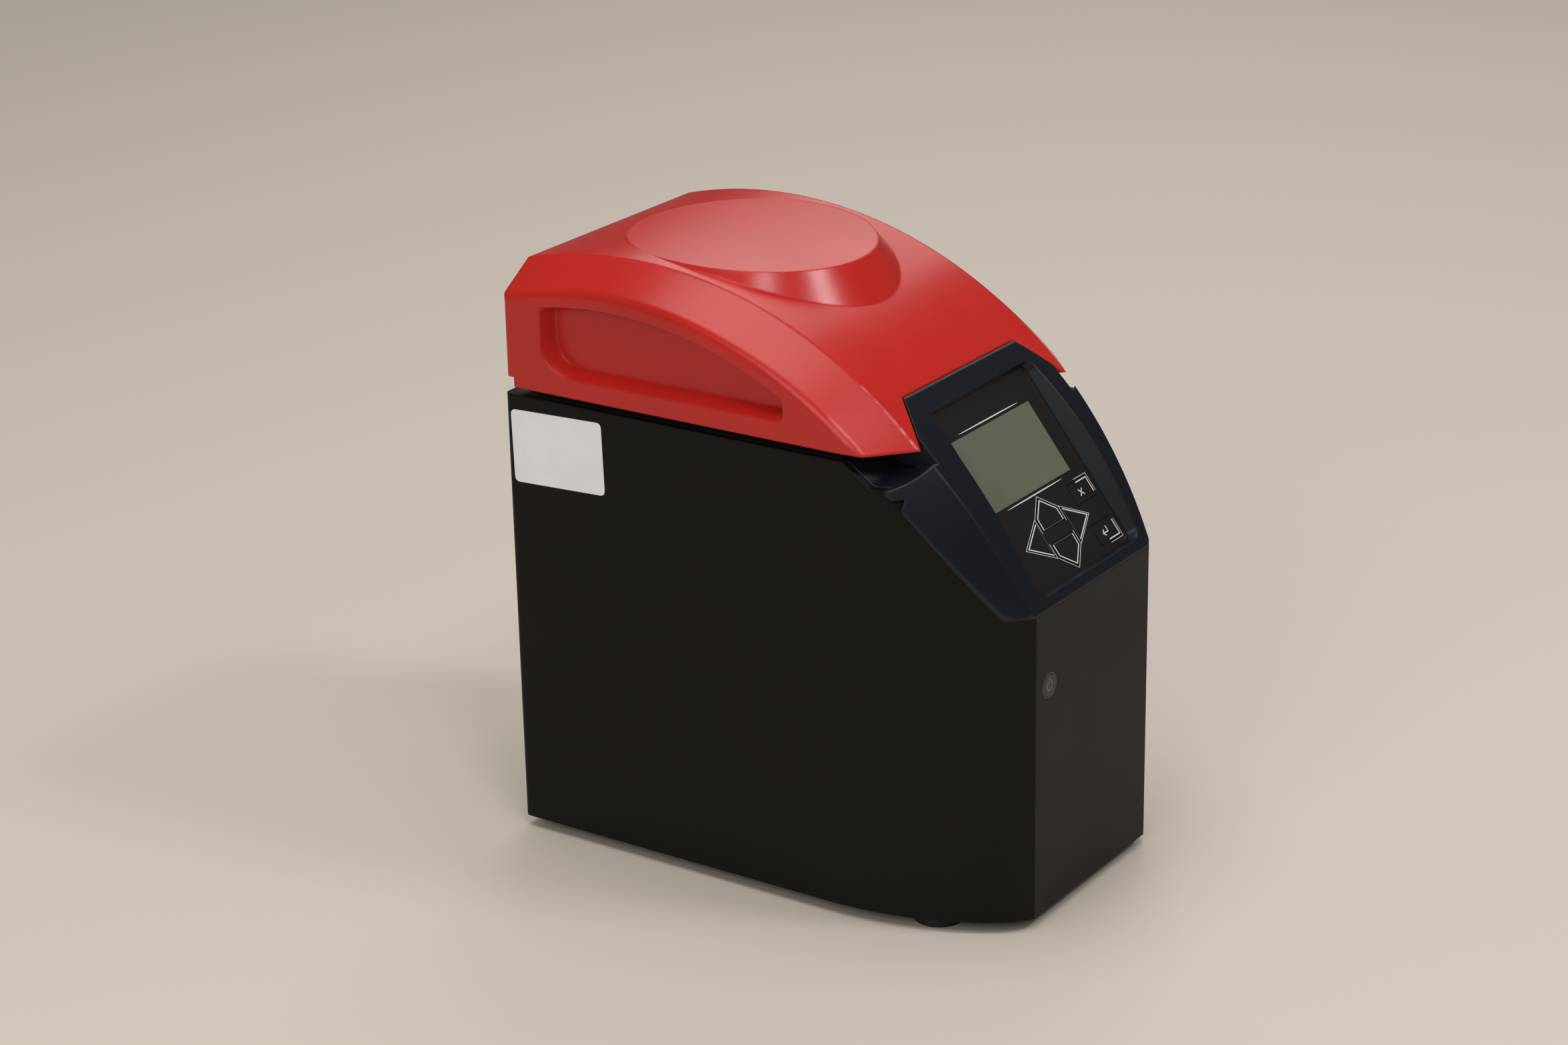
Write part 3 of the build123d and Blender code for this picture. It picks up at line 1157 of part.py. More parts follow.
def make_lid():
    crown = lid_crown(0, LID_SIDE_INSET, LID_TIP_DEG, rounded=True) + dome(0)
    outer = crown & lid_plan(0) & block((-BIG, BIG), (-BIG, BIG), (LID_Z, BIG))
    hollow = lid_crown(WALL, LID_SIDE_INSET + WALL, LID_TIP_DEG) + dome(WALL)
    inner = hollow & lid_plan(WALL) & block((-BIG, BIG), (-BIG, BIG), (LID_Z - 5, BIG))
    inner = inner - grip_cutter(WALL)
    lid = outer - grip_cutter(0) - inner
    for x in (-HINGE_X, HINGE_X):
        slot_x = (x - HINGE_SLOT_HALF, x + HINGE_SLOT_HALF)
        lid = lid - block(slot_x, (LID_COVE_Y - WALL - 0.5, BIG), (0, LID_COVE_Z - 1))
    return lid


def make_liner():
    low, high = LID_Z + FIT_GAP, LINER_TOP_Z
    r, w, rim = LINER_RADIUS, LINER_WALL, LINER_RADIUS + LINER_RIM
    skirt, top_r = low + LINER_SKIRT, LINER_TOP_RADIUS
    liner = revolved([
        (0, high), (0, high - w), (top_r - w, high - w), (r - w, skirt), (r - w, low), (rim, low),
        (rim, low + w), (r, low + w), (r, skirt), (top_r, high),
    ])
    for x in (-PILLAR_X, PILLAR_X):
        liner = liner + rod_z(PILLAR_RADIUS, x, AXIS_Y + PILLAR_SHIFT_Y, LINER_TOP_Z - 1, DOME_TOP_Z - WALL)
    return liner


def make_striker():
    front = NOTCH_Y + WALL
    root_y = (front, front + STRIKER_ROOT_DEPTH)
    root = block((-STRIKER_ROOT_HALF, STRIKER_ROOT_HALF), root_y, (LID_Z + 2, LID_Z + 12))
    hook_y = (LOCK_Y - STRIKER_REACH, LOCK_Y + STRIKER_REACH)
    hook = block((-STRIKER_HALF, STRIKER_HALF), hook_y, (LOCK_Z - 5, LID_Z + 3))
    return root + hook - rod_x(BOLT_RADIUS + 0.5, LOCK_Y, LOCK_Z, -10, 10)


BOLT_TIP_X = -STRIKER_HALF - 2.0


def make_bolt():
    return rod_x(BOLT_RADIUS, LOCK_Y, LOCK_Z, BOLT_TIP_X - BOLT_LENGTH, BOLT_TIP_X)


def make_solenoid():
    z = (LOCK_Z - SOLENOID_HALF_Z, SEAM_Z - DECK_THICK)
    y = (LOCK_Y - SOLENOID_FRONT, LOCK_Y + SOLENOID_REAR)
    body = block((SOLENOID_FAR_X, SOLENOID_NEAR_X), y, z)
    return body - rod_x(BOLT_RADIUS + RUN_GAP, LOCK_Y, LOCK_Z, SOLENOID_FAR_X + 3, SOLENOID_NEAR_X + 1)


def make_hinge_brackets():
    brackets = []
    for side in (-1, 1):
        x = sorted((side * (HINGE_X - HINGE_LENGTH - HINGE_SIDE_GAP), side * (HINGE_X - HINGE_SIDE_GAP)))
        barrel = rod_x(HINGE_RADIUS, HINGE_Y, HINGE_Z, *x)
        edge = HINGE_SLOT_FRONT_Y - CONSOLE_SEAT_GAP
        leaf = block(x, (edge, HINGE_Y), (HINGE_Z - HINGE_RADIUS, HINGE_Z - 1.0))
        foot = block(x, (HINGE_FOOT_FRONT_Y, edge + 1), (SEAM_Z, HINGE_Z - HINGE_SIDE_GAP))
        brackets.append(barrel + leaf + foot)
    body = Compound(children=brackets)
    return body - rod_x(HINGE_PIN_RADIUS, HINGE_Y, HINGE_Z, -BIG, BIG)


def make_hinge_pins():
    pins = []
    for side in (-1, 1):
        reach = HINGE_LENGTH + HINGE_SIDE_GAP
        x = sorted((side * (HINGE_X - reach), side * (HINGE_X + reach)))
        pins.append(rod_x(HINGE_PIN_RADIUS, HINGE_Y, HINGE_Z, *x))
    return Compound(children=pins)


def make_hinge_arms():
    arms = []
    for side in (-1, 1):
        x = sorted((side * (HINGE_X + HINGE_SIDE_GAP), side * (HINGE_X + HINGE_LENGTH + HINGE_SIDE_GAP)))
        barrel = rod_x(HINGE_RADIUS, HINGE_Y, HINGE_Z, *x)
        rear = LID_COVE_Y - WALL
        front = rear - HINGE_LEAF_THICK
        leaf = block(x, (front, rear), (HINGE_Z + 1, LID_COVE_Z + HINGE_LEAF_RISE))
        bridge = block(x, (front, HINGE_Y), (HINGE_Z + 0.5, HINGE_Z + HINGE_RADIUS))
        arms.append(barrel + leaf + bridge)
    body = Compound(children=arms)
    return body - rod_x(HINGE_PIN_RADIUS + RUN_GAP, HINGE_Y, HINGE_Z, -BIG, BIG)


PARTS = {
    "housing_shell": make_housing,
    "base_plate": make_base_plate,
    "rubber_feet": make_feet,
    "base_screws": make_base_screws,
    "top_deck": make_deck,
    "console_bezel": make_console,
    "console_overlay": make_overlay,
    "display_glass": make_display_glass,
    "display_module": make_display_module,
    "display_board": make_display_board,
    "power_button": make_power_button,
    "power_button_ring": make_button_ring,
    "rear_panel": make_rear_panel,
    "panel_screws": make_panel_screws,
    "power_inlet": make_inlet,
    "inlet_pins": make_inlet_pins,
    "fuse_drawer": make_fuse_drawer,
    "mains_rocker": make_rocker,
    "fan_frame": make_fan_frame,
    "fan_rotor": make_fan_rotor,
    "controller_board": make_controller_board,
    "power_supply": make_power_supply,
    "isolation_mounts": make_isolators,
    "drive_frame": make_drive_frame,
    "shaft_bearings": make_bearings,
    "motor_housing": make_motor_housing,
    "motor_rotor": make_rotor,
    "crank_disc": make_crank_disc,
    "connecting_rod": make_rod,
    "crank_bearing": make_crank_bearing,
    "crank_pin": make_crank_pin,
    "wrist_pin": make_wrist_pin,
    "carriage_fork": make_fork,
    "carriage_shaft": make_carriage_shaft,
    "guide_bushings": make_bushings,
    "chamber_bowl": make_bowl,
    "chamber_gasket": make_gasket,
    "holder_hub": make_hub,
    "sample_holder": make_holder,
    "holder_clamp": make_clamp,
    "holder_knob": make_knob,
    "lock_solenoid": make_solenoid,
    "lock_bolt": make_bolt,
    "hinge_brackets": make_hinge_brackets,
    "hinge_pins": make_hinge_pins,
    "hinge_arms": make_hinge_arms,
    "lid_cover": make_lid,
    "lid_liner": make_liner,
    "lid_striker": make_striker,
}

for part_name, maker in PARTS.items():
    save(maker(), part_name)
for part_name, key in make_keys().items():
    save(key, part_name)
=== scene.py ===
import math

import bmesh
import bpy
from mathutils import Matrix, Vector


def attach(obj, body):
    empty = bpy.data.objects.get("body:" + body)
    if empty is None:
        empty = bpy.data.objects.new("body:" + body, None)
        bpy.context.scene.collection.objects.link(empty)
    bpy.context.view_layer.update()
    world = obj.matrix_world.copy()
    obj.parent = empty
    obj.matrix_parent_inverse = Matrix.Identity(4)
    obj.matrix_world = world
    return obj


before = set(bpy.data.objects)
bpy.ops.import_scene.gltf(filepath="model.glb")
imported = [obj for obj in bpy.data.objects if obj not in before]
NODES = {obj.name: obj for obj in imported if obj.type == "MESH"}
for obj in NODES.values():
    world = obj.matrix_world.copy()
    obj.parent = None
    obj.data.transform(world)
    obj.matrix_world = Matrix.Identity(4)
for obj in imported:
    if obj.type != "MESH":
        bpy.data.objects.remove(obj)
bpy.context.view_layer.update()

MM = 0.001

# Places on the CAD model, in millimetres
SIDE_X = 80.0
FRONT_Y = -123.0
BUTTON_X = -36.8
BUTTON_Z = 108.5
WINDOW_TOP = Vector((0.0, -72.1, 204.2))
WINDOW_SLOPE = math.radians(52.4)
WINDOW_RIGHT = Vector((1.0, 0.0, 0.0))
WINDOW_UP = Vector((0.0, math.cos(WINDOW_SLOPE), math.sin(WINDOW_SLOPE)))
WINDOW_OUT = Vector((0.0, -math.sin(WINDOW_SLOPE), math.cos(WINDOW_SLOPE)))
KEY_CENTRE = 54.5
KEY_TOP = 0.15

# Ink: its thickness and the widths of its lines
INK_THICK = 0.04
WHITE_LINE = 0.48
THIN_LINE = 0.22
GREY_LINE = 0.3
CROSS_LINE = 0.5
HOOK_LINE = 0.45
SYMBOL_LINE = 0.42

# Cursor keys: an arrow above the pad's centre, and one to its right
ARROW_HALF = 9.0
ARROW_NEAR = 3.0
ARROW_SHOULDER = 9.0
ARROW_TIP = 16.5
ARROW_MIDDLE = 8.0
WEDGE_NEAR = 10.5
WEDGE_TIP = 25.5
WEDGE_HALF = 8.5
WEDGE_MIDDLE = 15.5
OUTLINE_IN = 1.1
OUTLINE_OUT = -0.9

# Corner keys: a bracket round each one's outer corner
BRACKET_NEAR_X = 29.4
BRACKET_X = 38.0
BRACKET_HIGH = 40.4
BRACKET_LOW = 68.6
BRACKET_ARM = 7.0
BRACKET_OUT_S = 1.6
BRACKET_OUT_X = 1.5

# Lines above and below the display
LINE_ABOVE = -1.5
LINE_ABOVE_HALF = 24.0
LINE_BELOW = 36.0
LINE_BELOW_HALF = 22.5
LINE_WIDTH = 0.5
LINE_STEPS = 16

# Power symbol
SYMBOL_RADIUS = 2.1
SYMBOL_START = 120
SYMBOL_END = 420
SYMBOL_BAR = (0.7, 2.9)

# Sticker on the left side: its corners as (y, z)
STICKER_CORNERS = [(120.9, 199.6), (72.5, 201.4), (71.6, 168.6), (120.1, 166.5)]
STICKER_RADIUS = 2.6
STICKER_THICK = 0.12
CORNER_STEPS = 6

# Studio, in metres
FLOOR_REACH = 6.0
LIGHT_TARGET = (0.0, 0.0, 0.2)
SMALL_LAMP = (0.45, 0.35)

# Camera, fitted to the photograph
CAMERA_AZIMUTH = math.radians(-55.71)
CAMERA_ELEVATION = math.radians(20.78)
CAMERA_ROLL = math.radians(-1.13)
CAMERA_SHIFT_X = -30.55
CAMERA_SHIFT_Y = 135.17
CAMERA_DISTANCE = 1596.5
CAMERA_LENS = 81.15
SENSOR_WIDTH = 36.0


# Materials
class Surface:
    """A principled material with a few helpers that add procedural detail."""

    def __init__(self, name, colour, roughness, metallic=0.0):
        self.material = bpy.data.materials.new(name)
        self.material.use_nodes = True
        self.tree = self.material.node_tree
        self.shader = self.tree.nodes["Principled BSDF"]
        self.shader.inputs["Base Color"].default_value = (*colour, 1.0)
        self.shader.inputs["Roughness"].default_value = roughness
        self.shader.inputs["Metallic"].default_value = metallic
        self.colour = colour
        self.height = None
        self.worn = None

    def node(self, kind, **values):
        made = self.tree.nodes.new(kind)
        for key, value in values.items():
            made.inputs[key.replace("_", " ")].default_value = value
        return made

    def link(self, source, target):
        self.tree.links.new(source, target)

    def noise(self, size_mm, detail=3.0, stretch=(1.0, 1.0, 1.0)):
        """Noise in the part's own coordinates, with features of about that size."""
        place = self.tree.nodes.new("ShaderNodeTexCoord")
        mapping = self.node("ShaderNodeMapping", Scale=stretch)
        self.link(place.outputs["Object"], mapping.inputs["Vector"])
        texture = self.node("ShaderNodeTexNoise", Scale=1000.0 / size_mm, Detail=detail)
        self.link(mapping.outputs["Vector"], texture.inputs["Vector"])
        return texture.outputs["Fac"]

    def round_edges(self, radius_mm, wear=0.0, tone=(0.5, 0.5, 0.5)):
        """Softened corners that catch the light, with a little wear along them."""
        soft = self.tree.nodes.new("ShaderNodeBevel")
        soft.samples = 4
        soft.inputs["Radius"].default_value = radius_mm * MM
        self.height = soft.outputs["Normal"]
        self.link(self.height, self.shader.inputs["Normal"])
        if wear:
            place = self.tree.nodes.new("ShaderNodeNewGeometry")
            match = self.tree.nodes.new("ShaderNodeVectorMath")
            match.operation = "DOT_PRODUCT"
            self.link(soft.outputs["Normal"], match.inputs[0])
            self.link(place.outputs["Normal"], match.inputs[1])
            bare = self.node("ShaderNodeMapRange", From_Min=0.995, From_Max=0.90, To_Min=0.0, To_Max=wear)
            self.link(match.outputs["Value"], bare.inputs["Value"])
            self.worn = (bare.outputs["Result"], tone)
        return self

    def apply_wear(self):
        """Mixes the worn tone over whatever drives the base colour."""
        if self.worn is None:
            return self
        share, tone = self.worn
        mix = self.tree.nodes.new("ShaderNodeMix")
        mix.data_type = "RGBA"
        self.link(share, mix.inputs["Factor"])
        target = self.shader.inputs["Base Color"]
        if target.is_linked:
            self.link(target.links[0].from_socket, mix.inputs["A"])
        else:
            mix.inputs["A"].default_value = target.default_value
        mix.inputs["B"].default_value = (*tone, 1.0)
        self.link(mix.outputs["Result"], target)
        return self

    def vary(self, size_mm, amount, stretch=(1.0, 1.0, 1.0)):
        """Blotches of a slightly lighter and darker tone."""
        ramp = self.tree.nodes.new("ShaderNodeValToRGB")
        dark = tuple(c * (1 - amount) for c in self.colour)
        light = tuple(min(1.0, c * (1 + amount)) for c in self.colour)
        ramp.color_ramp.elements[0].position = 0.3
        ramp.color_ramp.elements[1].position = 0.7
        ramp.color_ramp.elements[0].color = (*dark, 1.0)
        ramp.color_ramp.elements[1].color = (*light, 1.0)
        self.link(self.noise(size_mm, 4.0, stretch), ramp.inputs["Fac"])
        self.link(ramp.outputs["Color"], self.shader.inputs["Base Color"])
        return self

    def sheen_range(self, size_mm, low, high, stretch=(1.0, 1.0, 1.0)):
        """Roughness that drifts between two values."""
        spread = self.node("ShaderNodeMapRange", To_Min=low, To_Max=high)
        self.link(self.noise(size_mm, 3.0, stretch), spread.inputs["Value"])
        self.link(spread.outputs["Result"], self.shader.inputs["Roughness"])
        return self

    def bump(self, size_mm, depth_mm, strength=1.0, detail=2.0, stretch=(1.0, 1.0, 1.0)):
        """Fine relief. Each call adds to the ones before."""
        made = self.node("ShaderNodeBump", Strength=strength, Distance=depth_mm * MM)
        self.link(self.noise(size_mm, detail, stretch), made.inputs["Height"])
        if self.height is not None:
            self.link(self.height, made.inputs["Normal"])
        self.height = made.outputs["Normal"]
        self.link(self.height, self.shader.inputs["Normal"])
        return self

    def coat(self, weight, roughness):
        self.shader.inputs["Coat Weight"].default_value = weight
        self.shader.inputs["Coat Roughness"].default_value = roughness
        return self

    def specular(self, level):
        self.shader.inputs["Specular IOR Level"].default_value = level
        return self


def moulded(name, colour, roughness, grain_mm=0.9, depth_mm=0.02, edge_mm=0.6, wear=0.25):
    """Painted or moulded plastic with a spark-eroded grain."""
    surface = Surface(name, colour, roughness)
    surface.round_edges(edge_mm, wear, tuple(min(1.0, c * 1.7 + 0.01) for c in colour))
    surface.vary(60.0, 0.08)
    surface.sheen_range(35.0, roughness - 0.04, roughness + 0.05)
    surface.bump(grain_mm, depth_mm, 0.6)
    return surface.apply_wear()


def machined(name, colour, roughness, stretch=(1.0, 1.0, 12.0)):
    """Bare metal with fine tool marks."""
    surface = Surface(name, colour, roughness, metallic=1.0)
    surface.round_edges(0.25)
    surface.sheen_range(3.0, roughness - 0.05, roughness + 0.1, stretch)
    surface.bump(0.8, 0.006, 0.5, stretch=stretch)
    return surface


def make_materials():
    lid = moulded("lid_paint", (0.50, 0.017, 0.012), 0.25, 0.75, 0.035, 1.6, 0.12)
    lid.specular(0.42)
    housing = moulded("housing_paint", (0.0042, 0.0033, 0.0025), 0.44, 0.8, 0.02, 0.8)
    housing.specular(0.17)
    console = moulded("console_plastic", (0.0048, 0.0072, 0.0120), 0.36, 0.8, 0.02, 1.4)
    console.specular(0.36)
    film = moulded("panel_film", (0.0120, 0.0105, 0.0090), 0.34, 0.5, 0.006, 0.15)
    display = Surface("display_pane", (0.128, 0.140, 0.098), 0.12)
    display.vary(25.0, 0.05)
    display.coat(0.5, 0.05)
    rubber = moulded("rubber_black", (0.012, 0.012, 0.012), 0.75, 1.2, 0.04)
    steel = machined("steel", (0.56, 0.55, 0.53), 0.32)
    plated = machined("plated_steel", (0.62, 0.60, 0.56), 0.25)
    aluminium = machined("turned_aluminium", (0.74, 0.74, 0.75), 0.30)
    cast = Surface("cast_aluminium", (0.55, 0.55, 0.56), 0.5, metallic=1.0)
    cast.bump(1.5, 0.05, 0.6).vary(20.0, 0.08)
    iron = machined("rotor_iron", (0.12, 0.12, 0.13), 0.42)
    bronze = machined("bronze", (0.60, 0.38, 0.16), 0.33)
    brass = machined("brass", (0.78, 0.62, 0.30), 0.22)
    liner = moulded("liner_plastic", (0.16, 0.16, 0.165), 0.45, 0.9, 0.02)
    deck = moulded("deck_plastic", (0.020, 0.020, 0.022), 0.5, 0.9, 0.02)
    plastic = moulded("black_plastic", (0.013, 0.013, 0.014), 0.42, 0.6, 0.015)
    board = Surface("circuit_board", (0.012, 0.10, 0.045), 0.4)
    board.vary(6.0, 0.2).coat(0.4, 0.2)
    module = machined("module_frame", (0.5, 0.5, 0.51), 0.4)
    button = moulded("button_plastic", (0.012, 0.0115, 0.0115), 0.4, 0.5, 0.008)
    ring = moulded("ring_plastic", (0.036, 0.035, 0.034), 0.4, 0.5, 0.008)
    panel = moulded("panel_paint", (0.018, 0.018, 0.019), 0.5, 0.7, 0.02)
    return {
        lid: ["lid_cover"],
        housing: ["housing_shell", "base_plate"],
        console: ["console_bezel"],
        film: ["console_overlay", "key_up", "key_down", "key_left", "key_right", "key_escape", "key_enter"],
        display: ["display_glass"],
        rubber: ["rubber_feet", "chamber_gasket", "isolation_mounts"],
        steel: ["crank_disc", "crank_pin", "wrist_pin", "shaft_bearings", "crank_bearing", "lock_bolt"],
        plated: ["base_screws", "panel_screws", "hinge_pins", "hinge_brackets", "hinge_arms",
                 "carriage_shaft"],
        aluminium: ["sample_holder", "holder_clamp", "holder_hub", "connecting_rod", "carriage_fork"],
        cast: ["drive_frame", "motor_housing"],
        iron: ["motor_rotor"],
        bronze: ["guide_bushings"],
        brass: ["inlet_pins"],
        liner: ["chamber_bowl", "lid_liner", "lid_striker"],
        deck: ["top_deck"],
        plastic: ["power_inlet", "fuse_drawer", "mains_rocker", "fan_frame", "fan_rotor", "holder_knob",
                  "lock_solenoid"],
        board: ["display_board", "controller_board", "power_supply"],
        module: ["display_module"],
        button: ["power_button"],
        ring: ["power_button_ring"],
        panel: ["rear_panel"],
    }


def dress_nodes():
    for surface, names in make_materials().items():
        for name in names:
            mesh = NODES[name].data
            if not mesh.materials:
                mesh.materials.append(surface.material)
            for index in range(len(mesh.materials)):
                mesh.materials[index] = surface.material


# Printed marks
def on_window(x, s, n):
    """A point in window coordinates, in metres: x across, s down from the display's top, n outwards."""
    return (WINDOW_TOP + WINDOW_RIGHT * x - WINDOW_UP * s + WINDOW_OUT * n) * MM


def on_front(x, z, n):
    return Vector((x, FRONT_Y - n, z)) * MM


def outline_offsets(path, closed):
    """For each point of a path, the mitred sideways direction for a line of unit half width."""
    count = len(path)
    sides = []
    for i, point in enumerate(path):
        before = path[i - 1] if (closed or i > 0) else None
        after = path[(i + 1) % count] if (closed or i < count - 1) else None
        normals = []
        for a, b in ((before, point), (point, after)):
            if a is not None and b is not None:
                along = (Vector(b) - Vector(a)).normalized()
                normals.append(Vector((-along.y, along.x)))
        total = sum(normals, Vector((0.0, 0.0))).normalized()
        sides.append(total / max(0.35, total.dot(normals[0])))
    return sides


def stroke(mesh, place, path, width, low, high, closed=False, taper=False):
    """Adds one raised printed line to a bmesh."""
    sides = outline_offsets(path, closed)
    count = len(path)
    rings = []
    for i, (point, side) in enumerate(zip(path, sides)):
        share = 1.0
        if taper:
            share = 0.15 + 0.85 * math.sin(math.pi * i / (count - 1)) ** 0.5
        half = width / 2 * share
        left = Vector(point) + side * half
        right = Vector(point) - side * half
        ring = [mesh.verts.new(place(p.x, p.y, n)) for p, n in
                ((left, low), (left, high), (right, high), (right, low))]
        rings.append(ring)
    pairs = list(zip(rings, rings[1:]))
    if closed:
        pairs.append((rings[-1], rings[0]))
    for a, b in pairs:
        for k in range(4):
            mesh.faces.new((a[k], b[k], b[(k + 1) % 4], a[(k + 1) % 4]))
    if not closed:
        mesh.faces.new(rings[0])
        mesh.faces.new(rings[-1][::-1])


def finish_piece(mesh, name, surface, body):
    bmesh.ops.recalc_face_normals(mesh, faces=mesh.faces)
    data = bpy.data.meshes.new(name)
    mesh.to_mesh(data)
    mesh.free()
    piece = bpy.data.objects.new(name, data)
    bpy.context.scene.collection.objects.link(piece)
    data.materials.append(surface.material)
    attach(piece, body)
    return piece


def arc(cx, cy, radius, start_deg, end_deg, steps=20):
    turn = [math.radians(start_deg + (end_deg - start_deg) * i / steps) for i in range(steps + 1)]
    return [(cx + radius * math.cos(t), cy + radius * math.sin(t)) for t in turn]


def printed(name, body, surface, lines, place=on_window, base=0.0):
    """One printed mark made of several lines: (path, width, tapered)."""
    mesh = bmesh.new()
    for path, width, taper in lines:
        stroke(mesh, place, path, width, base - INK_THICK / 2, base + INK_THICK, taper=taper)
    return finish_piece(mesh, name, surface, body)


def shrink(path, centre, amount):
    """Moves each point of a path towards a centre by a fixed distance."""
    middle = Vector(centre)
    moved = []
    for point in path:
        towards = middle - Vector(point)
        moved.append(tuple(Vector(point) + towards.normalized() * amount))
    return moved


def make_arrow_keys(white, grey):
    """Double white outlines round the cursor keys and grey lines between them."""
    middle = KEY_CENTRE
    near = middle - ARROW_NEAR
    shoulder = middle - ARROW_SHOULDER
    tip = (0.0, middle - ARROW_TIP)
    up = [(-ARROW_HALF, near), (-ARROW_HALF, shoulder), tip, (ARROW_HALF, shoulder), (ARROW_HALF, near)]
    right = [(WEDGE_NEAR, middle - WEDGE_HALF), (WEDGE_TIP, middle), (WEDGE_NEAR, middle + WEDGE_HALF)]
    shapes = {
        "up": (up, (0.0, middle - ARROW_MIDDLE)),
        "down": ([(x, 2 * middle - s) for x, s in up], (0.0, middle + ARROW_MIDDLE)),
        "right": (right, (WEDGE_MIDDLE, middle)),
        "left": ([(-x, s) for x, s in right], (-WEDGE_MIDDLE, middle)),
    }
    for key, (path, centre) in shapes.items():
        inner = shrink(path, centre, OUTLINE_IN)
        outer = shrink(path, centre, OUTLINE_OUT)
        back = [inner[-1], inner[0]]
        body = "key_" + key
        printed("print_%s_line" % key, body, white, [(inner, WHITE_LINE, False)], base=KEY_TOP)
        printed("print_%s_base" % key, body, grey, [(back, GREY_LINE, False)], base=KEY_TOP)
        printed("print_%s_edge" % key, "base", white, [(outer, THIN_LINE, False)])


def make_corner_keys(white):
    """Corner brackets and plain symbols on the two square keys."""
    for key, corner_s, inwards in (("escape", BRACKET_HIGH, 1), ("enter", BRACKET_LOW, -1)):
        end_s = corner_s + inwards * BRACKET_ARM
        path = [(BRACKET_NEAR_X, corner_s), (BRACKET_X, corner_s), (BRACKET_X, end_s)]
        printed("print_%s_bracket" % key, "key_" + key, white, [(path, WHITE_LINE, False)], base=KEY_TOP)
        out_s = corner_s - inwards * BRACKET_OUT_S
        out_x = BRACKET_X + BRACKET_OUT_X
        out = [(BRACKET_NEAR_X, out_s), (out_x, out_s), (out_x, end_s)]
        printed("print_%s_edge" % key, "base", white, [(out, THIN_LINE, False)])
    cross = [([(28.2, 43.6), (31.2, 46.6)], CROSS_LINE, False),
             ([(28.2, 46.6), (31.2, 43.6)], CROSS_LINE, False)]
    printed("print_escape_symbol", "key_escape", white, cross, base=KEY_TOP)
    hook = [([(31.4, 62.6), (31.4, 65.2), (27.4, 65.2)], HOOK_LINE, False),
            ([(28.9, 63.8), (27.3, 65.2), (28.9, 66.6)], HOOK_LINE, False)]
    printed("print_enter_symbol", "key_enter", white, hook, base=KEY_TOP)


def make_window_lines(white):
    """A tapered line above the display and one below it."""
    for name, s, half in (("top", LINE_ABOVE, LINE_ABOVE_HALF), ("bottom", LINE_BELOW, LINE_BELOW_HALF)):
        path = [(2 * half * i / LINE_STEPS - half, s) for i in range(LINE_STEPS + 1)]
        printed("print_line_" + name, "base", white, [(path, LINE_WIDTH, True)])


def make_button_symbol(ink):
    ring = arc(BUTTON_X, BUTTON_Z, SYMBOL_RADIUS, SYMBOL_START, SYMBOL_END)
    bar = [(BUTTON_X, BUTTON_Z + height) for height in SYMBOL_BAR]
    lines = [(ring, SYMBOL_LINE, False), (bar, SYMBOL_LINE, False)]
    printed("print_power_symbol", "power_button", ink, lines, place=on_front)


def make_sticker(paper):
    """A blank white sticker near the rear top corner of the left side."""
    corners = STICKER_CORNERS
    outline = []
    for i, corner in enumerate(corners):
        here = Vector(corner)
        before = (Vector(corners[i - 1]) - here).normalized()
        after = (Vector(corners[(i + 1) % len(corners)]) - here).normalized()
        start = here + before * STICKER_RADIUS
        end = here + after * STICKER_RADIUS
        for step in range(CORNER_STEPS + 1):
            t = step / CORNER_STEPS
            outline.append(start * (1 - t) ** 2 + here * 2 * t * (1 - t) + end * t ** 2)
    mesh = bmesh.new()
    lower, upper = ([mesh.verts.new(Vector((-SIDE_X - lift, p.x, p.y)) * MM) for p in outline]
                    for lift in (0.0, STICKER_THICK))
    mesh.faces.new(lower)
    mesh.faces.new(upper[::-1])
    count = len(outline)
    for i in range(count):
        j = (i + 1) % count
        mesh.faces.new((lower[i], lower[j], upper[j], upper[i]))
    finish_piece(mesh, "side_sticker", paper, "base")


def make_prints():
    white = Surface("ink_white", (0.72, 0.72, 0.74), 0.5)
    white.bump(0.4, 0.004, 0.3)
    grey = Surface("ink_grey", (0.085, 0.080, 0.078), 0.5)
    grey.bump(0.4, 0.004, 0.3)
    mark = Surface("ink_dim", (0.17, 0.17, 0.17), 0.5)
    mark.bump(0.4, 0.004, 0.3)
    paper = Surface("sticker_paper", (0.84, 0.84, 0.87), 0.55)
    paper.vary(14.0, 0.025).bump(9.0, 0.12, 0.4)
    make_arrow_keys(white, grey)
    make_corner_keys(white)
    make_window_lines(white)
    make_button_symbol(mark)
    make_sticker(paper)


# Studio
def make_floor():
    mesh = bpy.data.meshes.new("floor")
    reach = FLOOR_REACH
    corners = [(-reach, -reach, 0), (reach, -reach, 0), (reach, reach, 0), (-reach, reach, 0)]
    mesh.from_pydata(corners, [], [(0, 1, 2, 3)])
    floor = bpy.data.objects.new("floor", mesh)
    bpy.context.scene.collection.objects.link(floor)
    surface = Surface("floor_surface", (0.64, 0.575, 0.505), 0.6)
    surface.specular(0.3)
    mesh.materials.append(surface.material)


def area_light(name, place, size, watts, colour):
    """A soft light that faces the middle of the object."""
    data = bpy.data.lights.new(name, "AREA")
    data.shape = "RECTANGLE"
    data.size, data.size_y = size
    data.energy = watts
    data.color = colour
    lamp = bpy.data.objects.new(name, data)
    lamp.location = place
    lamp.rotation_mode = "QUATERNION"
    lamp.rotation_quaternion = (Vector(LIGHT_TARGET) - Vector(place)).to_track_quat("-Z", "Y")
    bpy.context.scene.collection.objects.link(lamp)


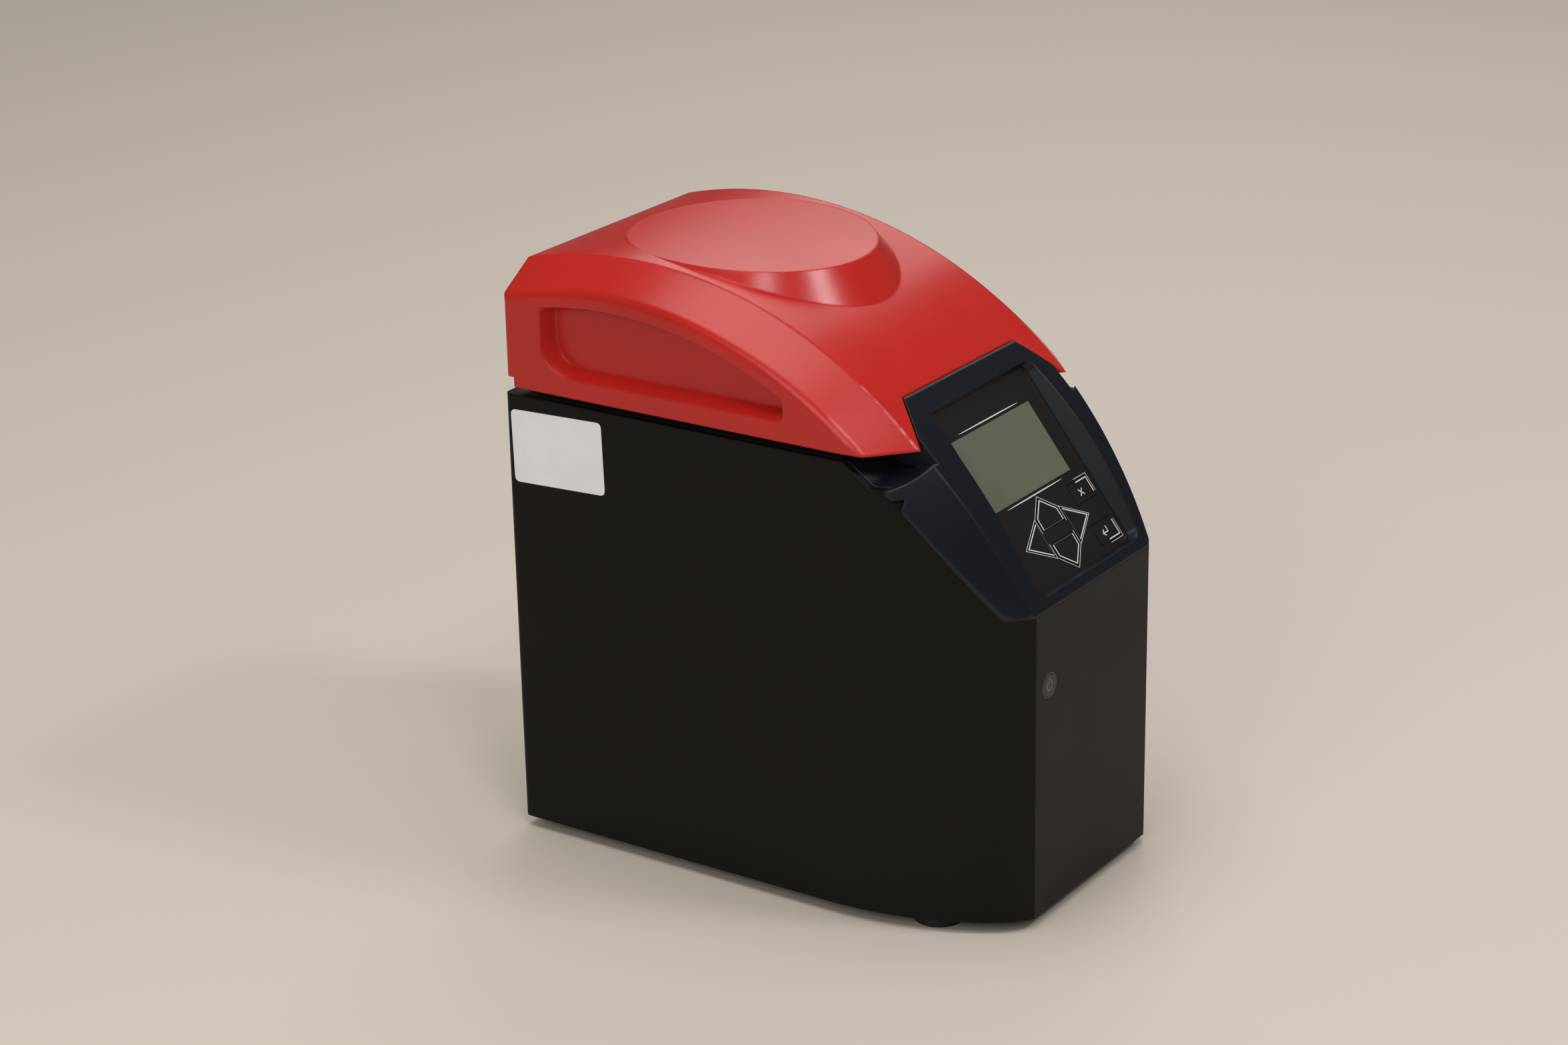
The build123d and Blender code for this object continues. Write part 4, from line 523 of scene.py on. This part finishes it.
def make_lights():
    area_light("ceiling", (-0.15, 0.15, 2.3), (1.3, 1.3), 17.0, (1.0, 0.985, 0.96))
    area_light("front_high", (0.55, -1.6, 2.0), SMALL_LAMP, 13.0, (1.0, 0.97, 1.0))
    area_light("left_high", (-0.85, -1.0, 2.2), SMALL_LAMP, 8.0, (1.0, 0.97, 1.0))
    area_light("right_far", (1.8, 0.8, 1.4), (1.2, 1.0), 6.0, (1.0, 0.98, 0.95))
    area_light("left_fill", (-2.1, -0.2, 1.3), (1.4, 1.0), 12.0, (1.0, 0.98, 0.96))


def background(tree, colour, strength=1.0):
    made = tree.nodes.new("ShaderNodeBackground")
    made.inputs["Color"].default_value = (*colour, 1.0)
    made.inputs["Strength"].default_value = strength
    return made.outputs["Background"]


def choose(tree, is_true, no, yes):
    """A shader that is one of two, as a ray test says."""
    mix = tree.nodes.new("ShaderNodeMixShader")
    tree.links.new(is_true, mix.inputs["Fac"])
    tree.links.new(no, mix.inputs[1])
    tree.links.new(yes, mix.inputs[2])
    return mix.outputs["Shader"]


def make_world():
    """Soft light from all round, a dimmer one in reflections, and a plain backdrop."""
    world = bpy.data.worlds.new("studio")
    bpy.context.scene.world = world
    world.use_nodes = True
    tree = world.node_tree
    tree.nodes.remove(tree.nodes["Background"])
    backdrop = background(tree, (0.60, 0.55, 0.49))
    ambient = background(tree, (1.0, 0.97, 0.93), 0.36)
    mirrored = background(tree, (1.0, 0.97, 0.93), 0.07)
    rays = tree.nodes.new("ShaderNodeLightPath")
    unseen = choose(tree, rays.outputs["Is Glossy Ray"], ambient, mirrored)
    seen = choose(tree, rays.outputs["Is Camera Ray"], unseen, backdrop)
    tree.links.new(seen, tree.nodes["World Output"].inputs["Surface"])


def make_camera():
    a, e, r = CAMERA_AZIMUTH, CAMERA_ELEVATION, CAMERA_ROLL
    back = Vector((math.sin(a) * math.cos(e), -math.cos(a) * math.cos(e), math.sin(e)))
    level = Vector((0.0, 0.0, 1.0)).cross(back).normalized()
    top = back.cross(level)
    right = level * math.cos(r) + top * math.sin(r)
    up = top * math.cos(r) - level * math.sin(r)
    place = (right * CAMERA_SHIFT_X + up * CAMERA_SHIFT_Y + back * CAMERA_DISTANCE) * MM
    data = bpy.data.cameras.new("camera")
    data.sensor_width = SENSOR_WIDTH
    data.lens = CAMERA_LENS
    camera = bpy.data.objects.new("camera", data)
    turn = Matrix((right, up, back)).transposed()
    camera.matrix_world = Matrix.Translation(place) @ turn.to_4x4()
    bpy.context.scene.collection.objects.link(camera)
    bpy.context.scene.camera = camera


dress_nodes()
make_prints()
make_floor()
make_lights()
make_world()
make_camera()
bpy.context.scene.view_settings.view_transform = "Standard"
